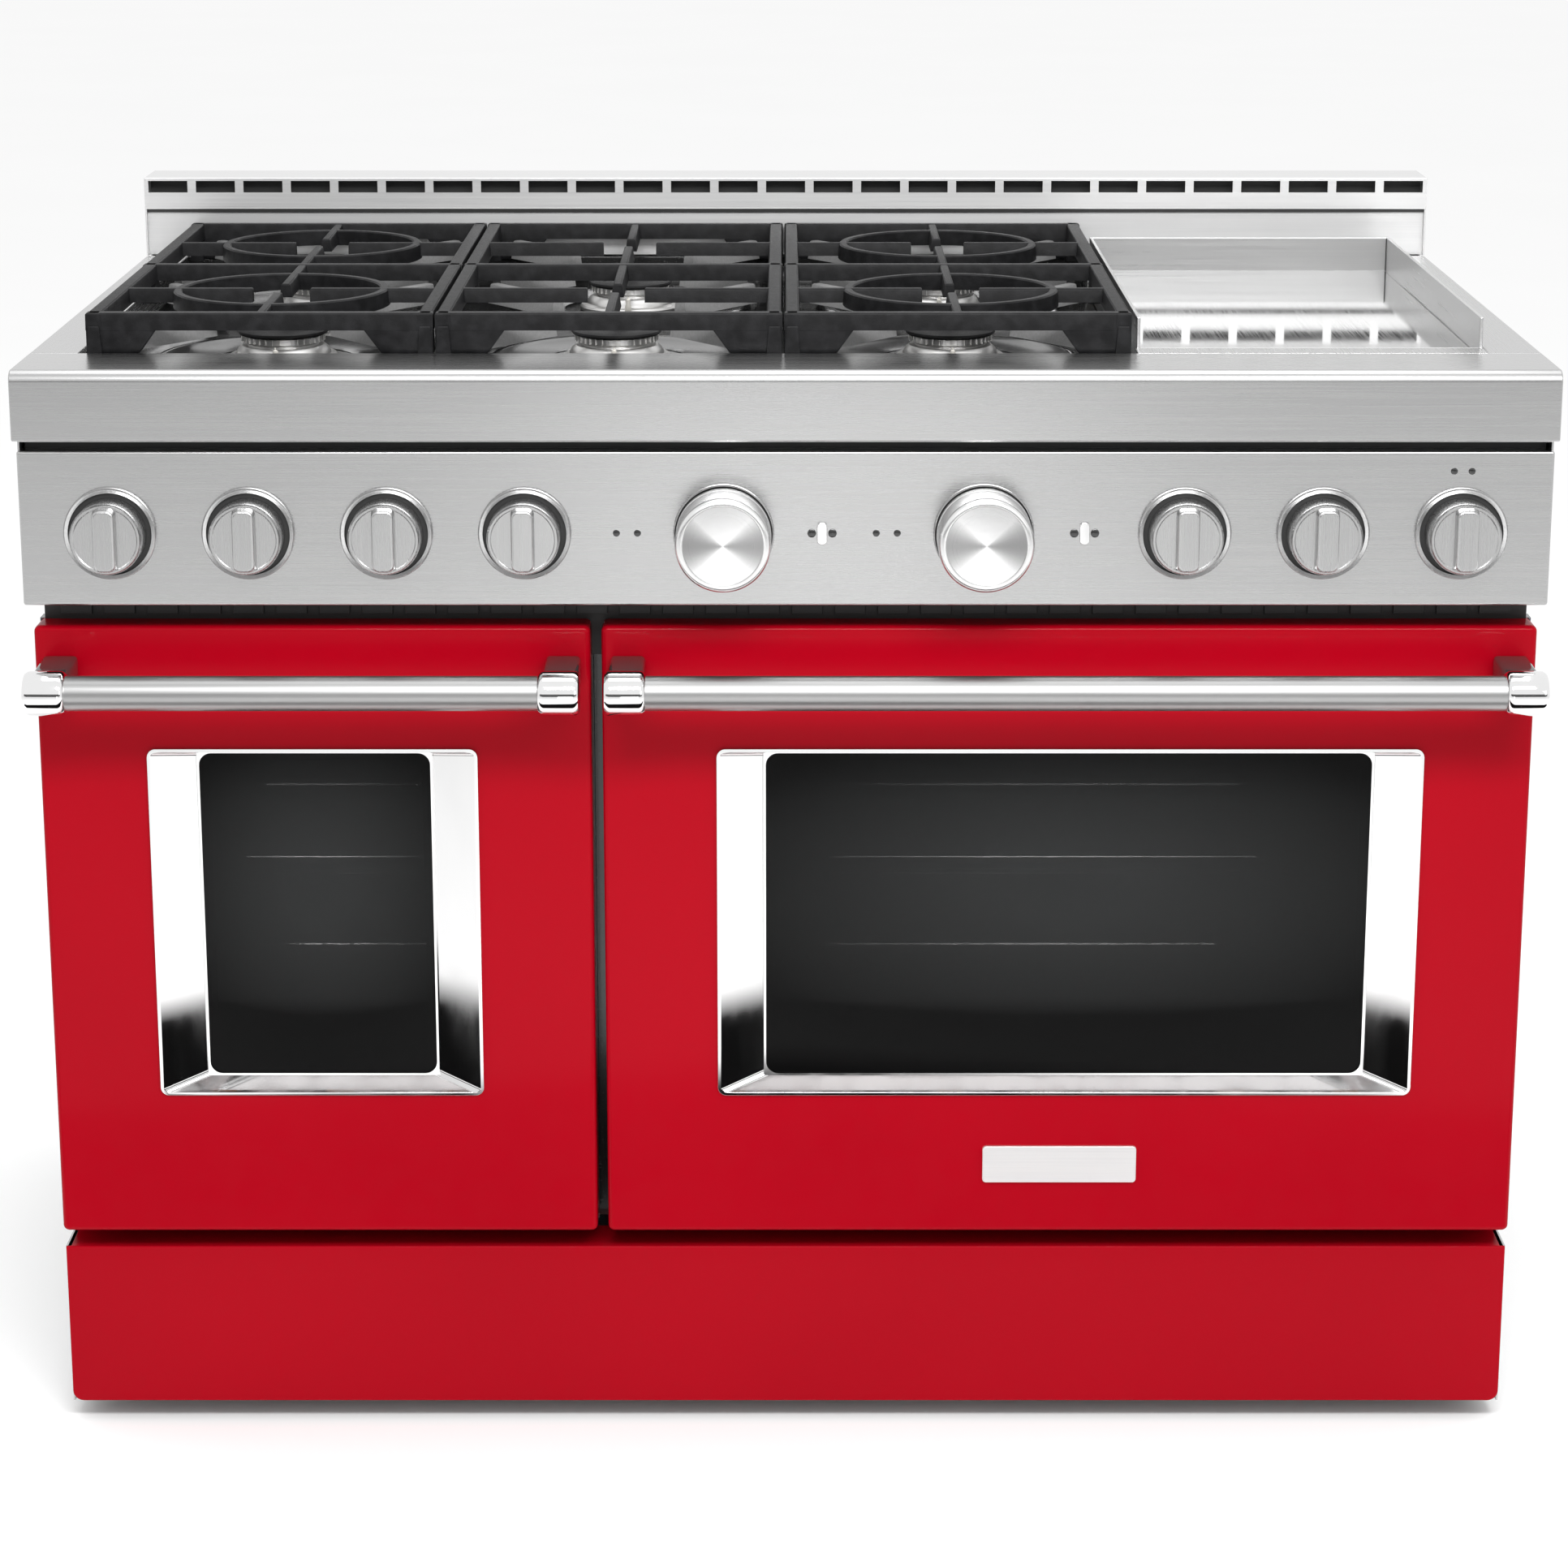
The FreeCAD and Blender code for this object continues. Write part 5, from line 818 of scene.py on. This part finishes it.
def makeDoor(side):
    # a pressed skin, open behind, with a window and a slot in its lower fold for each hinge arm
    door = {"corner": 0.005, "lip": 0.0045, "windowCorner": 0.008, "sheet": 0.0015,
            "lap": 0.002, "hingeIn": 0.060, "slotHalf": 0.005, "slotDeep": 0.010}
    low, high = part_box(f"{side}_door_skin")
    trimLow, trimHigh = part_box(f"{side}_window_bezel")
    pivot = jointSpots[f"door_{side}_hinge"]
    slotFront = pivot.y - door["slotDeep"]
    arms = (low.x + door["hingeIn"], high.x - door["hingeIn"])
    lap = Vector((door["lap"], 0, door["lap"]))
    bm = bmesh.new()
    boxInto(bm, low, high)
    cutWindow(bm, trimLow + lap, trimHigh - lap)
    splitAt(bm, (0, slotFront, 0), (0, 1, 0))
    for arm in arms:
        for x in (arm - door["slotHalf"], arm + door["slotHalf"]):
            splitAt(bm, (x, 0, 0), across)
    opened = []
    for face in bm.faces:
        middle = face.calc_center_median()
        inSlot = (middle.z < low.z + hair and middle.y > slotFront
                  and any(abs(middle.x - arm) < door["slotHalf"] for arm in arms))
        if inSlot or abs(middle.y - high.y) < hair:
            opened.append(face)
    bmesh.ops.delete(bm, geom=opened, context="FACES")
    inner = [edge for edge in bm.edges if alongAxis(edge, "Y") and edge.calc_face_angle(0) > 1
             and low.x + 0.01 < edge.verts[0].co.x < high.x - 0.01]
    bevel(bm, inner, door["windowCorner"], 6)
    corners = [edge for edge in bm.edges if alongAxis(edge, "Y") and edge.calc_face_angle(0) > 1
               and (allAt(edge, "X", low.x) or allAt(edge, "X", high.x))]
    bevel(bm, corners, door["corner"], 5)
    rim = [edge for edge in bm.edges if allAt(edge, "Y", low.y) and edge.calc_face_angle(0) > 1]
    outside = [edge for edge in rim if not (
        trimLow.x - 0.01 < edge.verts[0].co.x < trimHigh.x + 0.01
        and trimLow.z - 0.01 < edge.verts[0].co.z < trimHigh.z + 0.01)]
    bevel(bm, outside, door["lip"], 5)
    bmesh.ops.recalc_face_normals(bm, faces=bm.faces[:])
    front = min(bm.faces, key=lambda face: face.calc_center_median().y)
    if front.normal.y > 0:
        bmesh.ops.reverse_faces(bm, faces=bm.faces[:])
    bmesh.ops.solidify(bm, geom=bm.faces[:], thickness=door["sheet"])
    piece(f"{side}DoorSkin", bm, enamel, f"{side}_door", [f"{side}_door_skin"])


glassFrame = {"strip": 0.0395, "foot": 0.014, "head": 0.007}  # the bezel's width around the glass


def makeBezel(side):
    # a deep frame that slopes in to the glass, with a thin lip around the glass
    trim = {"lip": 0.0026, "mitre": 0.0035, "corner": 0.008, "rim": 0.0008, "innerCorner": 0.010,
            "ringOut": 0.0015, "ringIn": 0.0003, "ringFront": 0.0022, "ringBack": 0.0004}
    low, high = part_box(f"{side}_window_bezel")
    middle = (low.x + high.x) / 2
    holeLow = low + Vector((glassFrame["strip"], 0, glassFrame["foot"]))
    holeHigh = high - Vector((glassFrame["strip"], 0, glassFrame["head"]))
    bm = bmesh.new()
    boxInto(bm, low, high)
    mitres = cutWindow(bm, holeLow, holeHigh)
    for edge in mitres:
        for vert in edge.verts:
            if abs(vert.co.y - low.y) < hair:
                atLeft, atFoot = vert.co.x < middle, vert.co.z < (low.z + high.z) / 2
                vert.co.x = low.x + trim["lip"] if atLeft else high.x - trim["lip"]
                vert.co.z = low.z + trim["lip"] if atFoot else high.z - trim["lip"]
    bevel(bm, mitres, trim["mitre"], 5)
    corners = [edge for edge in bm.edges if alongAxis(edge, "Y")
               and abs(edge.verts[0].co.x - middle) > (high.x - low.x) / 2 - hair
               and edge.calc_face_angle(0) > 1]
    bevel(bm, corners, trim["corner"], 8)
    rim = [edge for edge in bm.edges if allAt(edge, "Y", low.y) and edge.calc_face_angle(0) > 0.1]
    bevel(bm, rim, trim["rim"], 3)
    ring = bmesh.new()
    out, within = trim["ringOut"], Vector((trim["ringIn"], 0, trim["ringIn"]))
    boxInto(ring, (holeLow.x - out, high.y - trim["ringFront"], holeLow.z - out),
            (holeHigh.x + out, high.y - trim["ringBack"], holeHigh.z + out))
    bevel(ring, cutWindow(ring, holeLow + within, holeHigh - within), trim["innerCorner"], 8)
    piece(f"{side}GlassLip", ring, chrome, f"{side}_door", sharp=50)
    piece(f"{side}WindowBezel", bm, trimChrome, f"{side}_door", [f"{side}_window_bezel"],
          sharp=50)


def makePanes(side):
    # outer and inner pane, and a printed black border behind the outer one
    pane = {"thick": 0.004, "edge": 0.0006, "foot": 0.004, "head": 0.001, "border": 0.0075,
            "borderFront": 0.0041, "borderBack": 0.0052, "borderCorner": 0.006}
    low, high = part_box(f"{side}_window_glass")
    trimLow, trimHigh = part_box(f"{side}_window_bezel")
    foot, head = trimLow.z + pane["foot"], trimHigh.z - pane["head"]
    glass = makeGlass(f"{side}SmokedGlassPaintedShade", low, Vector((high.x, high.y, trimHigh.z)))
    bm = bmesh.new()
    softBox(bm, (low.x, low.y, foot), (high.x, low.y + pane["thick"], head), pane["edge"], 2)
    softBox(bm, (low.x, high.y - pane["thick"], low.z), high, pane["edge"], 2)
    piece(f"{side}Panes", bm, glass, f"{side}_door", [f"{side}_window_glass"])
    bm = bmesh.new()
    boxInto(bm, (low.x, low.y + pane["borderFront"], foot), (high.x, low.y + pane["borderBack"], head))
    strip = glassFrame["strip"] + pane["border"]
    openLow = trimLow + Vector((strip, 0, glassFrame["foot"] + pane["border"]))
    openHigh = trimHigh - Vector((strip, 0, glassFrame["head"] + pane["border"]))
    bevel(bm, cutWindow(bm, openLow, openHigh), pane["borderCorner"], 5)
    piece(f"{side}PaneBorder", bm, fritBlack, f"{side}_door")


def makeHandle(side):
    # a round bar in two turned end caps, each on a post from the door
    handle = {"bar": 0.0139, "lap": 0.002, "cap": 0.0178, "bore": 0.004, "postHalf": 0.0140,
              "postDown": 0.0125, "postUp": 0.0145, "postEdge": 0.0035, "taper": 0.85}
    low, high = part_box(f"{side}_handle_bar")
    mountLow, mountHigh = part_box(f"{side}_handle_mounts")
    y, z = (low.y + high.y) / 2, (low.z + high.z) / 2
    doorFace, bar, cap = mountHigh.y, handle["bar"], handle["cap"]
    bm = bmesh.new()
    rodInto(bm, (low.x - handle["lap"], y, z), (high.x + handle["lap"], y, z), bar, 72)
    piece(f"{side}HandleBar", bm, barSteel, f"{side}_door", [f"{side}_handle_bar"],
          weighted=False)
    bm, posts = bmesh.new(), bmesh.new()
    long = low.x - mountLow.x
    for start, sign in ((mountLow.x, 1), (mountHigh.x, -1)):
        lathe(bm, [(0, 0), (cap - 0.0045, 0), (cap - 0.0018, 0.0008), (cap - 0.0004, 0.0028),
                   (cap, 0.005), (cap, long - 0.005), (cap - 0.0004, long - 0.0028),
                   (cap - 0.0018, long - 0.0008), (cap - 0.0030, long), (bar, long),
                   (bar, long - handle["bore"]), (0, long - handle["bore"])],
              (start, y, z), (sign, 0, 0), 72)
        middle = start + sign * long / 2
        made = boxInto(posts, (middle - handle["postHalf"], y + cap * 0.8, z - handle["postDown"]),
                       (middle + handle["postHalf"], doorFace - 0.001, z + handle["postUp"]))
        for vert in made:  # the post is a little lower at its cap
            if vert.co.y < (y + doorFace) / 2:
                vert.co.z = z + (vert.co.z - z) * handle["taper"]
        bevel(posts, edgesOf(made), handle["postEdge"], 4)
    # painted shade: dark paint on the chrome posts
    piece(f"{side}HandlePosts", posts, paintedShadeChrome, f"{side}_door", weighted=False)
    piece(f"{side}HandleMounts", bm, chrome, f"{side}_door", [f"{side}_handle_mounts"],
          weighted=False)


def makeBadge():
    badge = {"corner": 0.003}
    low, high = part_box("badge_plate")
    piece("badgePlate", roundPlate(low, high, badge["corner"], 5), badgeSteel, "right_door",
          ["badge_plate"], sharp=25)


def makeKick():
    # a sheet with rounded lower corners and a fold along its top
    kick = {"sheet": 0.0015, "corner": 0.009, "rim": 0.0012, "inset": 0.004}
    low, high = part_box("kick_panel")
    bm = bmesh.new()
    made = boxInto(bm, low, (high.x, low.y + kick["sheet"], high.z))
    bottom = [edge for edge in edgesOf(made) if alongAxis(edge, "Y") and allAt(edge, "Z", low.z)]
    bevel(bm, bottom, kick["corner"], 8)
    rest = [edge for edge in bm.edges if edge.calc_face_angle(0) > 1
            and any(abs(vert.co.y - low.y) < hair for vert in edge.verts)]
    bevel(bm, rest, kick["rim"], 4)
    softBox(bm, (low.x + kick["inset"], low.y + kick["sheet"], high.z - 0.002),
            (high.x - kick["inset"], high.y, high.z - 0.0004), 0.0005, 2)
    piece("kickPanel", bm, enamel, "chassis", ["kick_panel"])


def makeRacks():
    # round wire shelves that rest on wire ladders
    rack = {"deep": 0.450, "front": 0.012, "aside": 0.011, "frame": 0.0028, "corner": 0.003,
            "wire": 0.0016, "wireRise": 0.0006, "pitch": 0.024, "skin": 0.0016, "rail": 0.0024,
            "railDrop": 0.0026, "peg": 0.0022, "levels": (0.330, 0.480), "foot": 0.291,
            "head": 0.539, "posts": (0.020, 0.016)}
    bm = bmesh.new()
    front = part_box("small_oven_liner")[0].y + rack["front"]
    rear = front + rack["deep"]
    postFront, postRear = front + rack["posts"][0], rear + rack["posts"][1]
    for size in ("small", "large"):
        low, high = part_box(f"{size}_oven_liner")
        left, right = low.x + rack["aside"], high.x - rack["aside"]
        count = int((right - left) / rack["pitch"])
        for z in (level + rack["frame"] for level in rack["levels"]):
            for x in (left + rack["corner"], right - rack["corner"]):
                rodInto(bm, (x, front, z), (x, rear, z), rack["frame"], 10)
            for y in (front + rack["corner"], (front + rear) / 2, rear - rack["corner"]):
                rodInto(bm, (left, y, z), (right, y, z), rack["frame"], 10)
            top = z + rack["wireRise"]
            for index in range(1, count):
                x = left + (right - left) * index / count
                rodInto(bm, (x, front, top), (x, rear, top), rack["wire"], 8)
        for wall, sign in ((low.x + rack["skin"], 1), (high.x - rack["skin"], -1)):
            near, mid, far = (wall + sign * reach for reach in (0.003, 0.008, 0.009))
            for y in (postFront, postRear):
                rodInto(bm, (near, y, rack["foot"]), (near, y, rack["head"]), rack["rail"], 10)
            for z in (level - rack["railDrop"] for level in rack["levels"]):
                rodInto(bm, (mid, postFront - 0.001, z), (mid, postRear + 0.001, z), rack["rail"], 10)
                for y in (postFront, postRear):
                    rodInto(bm, (near, y, z), (far, y, z), rack["peg"], 8)
    piece("ovenRacks", bm, chrome, "chassis", ["oven_racks"], weighted=False)


def findLenses():
    # two lenses left of each oven knob, and two over the griddle knob
    lens = {"shares": (0.07, 0.0563), "rise": 0.050, "aside": 0.007}
    low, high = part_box("landing_ledge")
    griddle = knobCentres["griddle_knob"]
    spots = [(knobCentres[f"{size}_oven_knob"].x - (high.x - low.x) * share, griddle.z)
             for size in ("small", "large") for share in lens["shares"]]
    return spots + [(griddle.x + aside, griddle.z + lens["rise"])
                    for aside in (-lens["aside"], lens["aside"])]


burnerCentres = findBurners()
knobCentres = {joint["child"].removesuffix("_body"): jointSpots[joint["name"]]
               for joint in joints if joint["name"].startswith("knob_")}
lensSpots = findLenses()

makeLedge()
makeDeck()
makeBurners()
for name, ringed in (("left", True), ("middle", False), ("right", True)):
    makeGrate(name, ringed)
makeGriddle()
makeGuard()
print("cooktop made")
makePanel()
makeKnobRings()
for name in knobCentres:
    if "oven" in name:
        makeOvenKnob(name)
    else:
        makeSmallKnob(name)
makeSigns()
print("controls made")
for side in sides:
    makeDoor(side)
    makeBezel(side)
    makePanes(side)
    makeHandle(side)
makeBadge()
makeKick()
makeRacks()
print("doors and racks made")

inner = {"left_side_panel": steelUpright, "right_side_panel": steelUpright, "base_pan": zinc,
         "rear_panel": zinc, "front_frame": blackPorcelain, "small_oven_liner": ovenPorcelain,
         "large_oven_liner": ovenPorcelain, "left_door_liner": ovenPorcelain,
         "right_door_liner": ovenPorcelain, "fan_cover": ovenPorcelain, "oven_insulation": wool,
         "tube_burners": zinc, "oven_lamps": ceramic, "convection_fan": zinc, "fan_motor": zinc,
         "door_gaskets": rope, "hinge_brackets": zinc, "grease_tray": steelAcross,
         "gas_valves": brass, "gas_manifold": zinc, "power_inlet": blackPlastic,
         "leveling_feet": zinc}
for node, material in inner.items():
    nodes[node].data.materials.clear()
    nodes[node].data.materials.append(material)


def areaLamp(name, spot, size, power):
    lamp = bpy.data.lights.new(name, "AREA")
    lamp.energy = power
    lamp.shape = "RECTANGLE"
    lamp.size, lamp.size_y = size
    holder = place(name, lamp)
    holder.location = spot
    return holder


def makeStage():
    # a pale floor, a white world and three soft lamps
    lamps = {"keyLight": ((0.25, -1.8, 1.95), (0.15, -0.3, 0.66), (1.7, 0.4), 42),
             "fillLight": ((2.6, -3.4, 1.6), (0.3, 0, 0.5), (1.4, 1.4), 5),
             "topLight": ((0, 0.4, 3.6), (0, 0, 0.9), (2.4, 2.4), 32)}
    bm = bmesh.new()
    bmesh.ops.create_grid(bm, x_segments=1, y_segments=1, size=30)
    mesh = meshOf("floor", bm)
    mesh.materials.append(makeFloor())
    place("floor", mesh)
    world = bpy.data.worlds.new("softStudio")
    world.use_nodes = True
    world.node_tree.nodes["Background"].inputs["Color"].default_value = (1, 1, 1, 1)
    world.node_tree.nodes["Background"].inputs["Strength"].default_value = 1.0
    scene.world = world
    for name, (spot, target, size, power) in lamps.items():
        holder = areaLamp(name, spot, size, power)
        holder.rotation_euler = (Vector(target) - Vector(spot)).to_track_quat("-Z", "Y").to_euler()


def makeCards():
    # cards that only shiny surfaces see: dark ones behind the camera and near the floor,
    # and a bright one whose mirror image falls on the middle of the fascia
    cards = {"horizonFlag": ((0, -6.0, 0.95), (16, 1.3), True, 0.12, 0),
             "floorFlag": ((0, -0.95, 0.003), (2.7, 0.60), False, 0.004, 0),
             "middleSheen": ((0.05, -2.8, 0.36), (0.75, 0.42), True, 0.5, 1.3)}
    for name, (spot, size, upright, grey, glow) in cards.items():
        bm = bmesh.new()
        bmesh.ops.create_grid(bm, x_segments=1, y_segments=1, size=0.5)
        bmesh.ops.scale(bm, vec=(size[0], size[1], 1), verts=bm.verts[:])
        if upright:
            bmesh.ops.rotate(bm, verts=bm.verts[:], cent=(0, 0, 0),
                             matrix=Matrix.Rotation(-math.pi / 2, 3, "X"))
        bmesh.ops.translate(bm, verts=bm.verts[:], vec=spot)
        mesh = meshOf(name, bm)
        shade = Shade(f"{name}Paint")
        mottle = shade.noise(2.0)
        away = shade.axis("Y") - abs(shade.axis("X")) * 0.19
        solid = 1.0 if upright else shade.span(away, -1.20, -1.12, 0, 1)
        mesh.materials.append(shade.done(color=shade.mix(mottle, tone(grey * 0.9), tone(grey)),
                                         rough=0.9, specular=0.0, glow=tone(1.0), glowPower=glow,
                                         alpha=solid))
        card = place(name, mesh)
        card.visible_camera = False
        card.visible_diffuse = False
        card.visible_shadow = False
        card.visible_transmission = False


def makeOvenGlow():
    # a soft lamp under each oven's roof, so that the racks show through the glass
    glow = {"small": 1.3, "large": 2.4, "share": 0.6, "deep": 0.25, "back": 0.20, "down": 0.02}
    for size in ("small", "large"):
        low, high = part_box(f"{size}_oven_liner")
        spot = ((low.x + high.x) / 2, low.y + glow["back"], high.z - glow["down"])
        areaLamp(f"{size}OvenGlow", spot, ((high.x - low.x) * glow["share"], glow["deep"]), glow[size])


def makeCamera():
    view = {"away": 2.850, "height": 1.403, "tilt": 13.7, "lens": 84.8, "shiftX": -0.001,
            "shiftY": -0.10}
    lens = bpy.data.cameras.new("camera")
    lens.lens = view["lens"]
    lens.sensor_width = 36
    lens.shift_x = view["shiftX"]
    lens.shift_y = view["shiftY"]
    lens.clip_end = 100
    holder = place("camera", lens)
    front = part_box("landing_ledge")[0].y
    holder.location = (0, front - view["away"], view["height"])
    holder.rotation_euler = (math.radians(90 - view["tilt"]), 0, 0)
    scene.camera = holder


makeStage()
makeCards()
makeOvenGlow()
makeCamera()
scene.view_settings.view_transform = "Standard"
print("stage made")
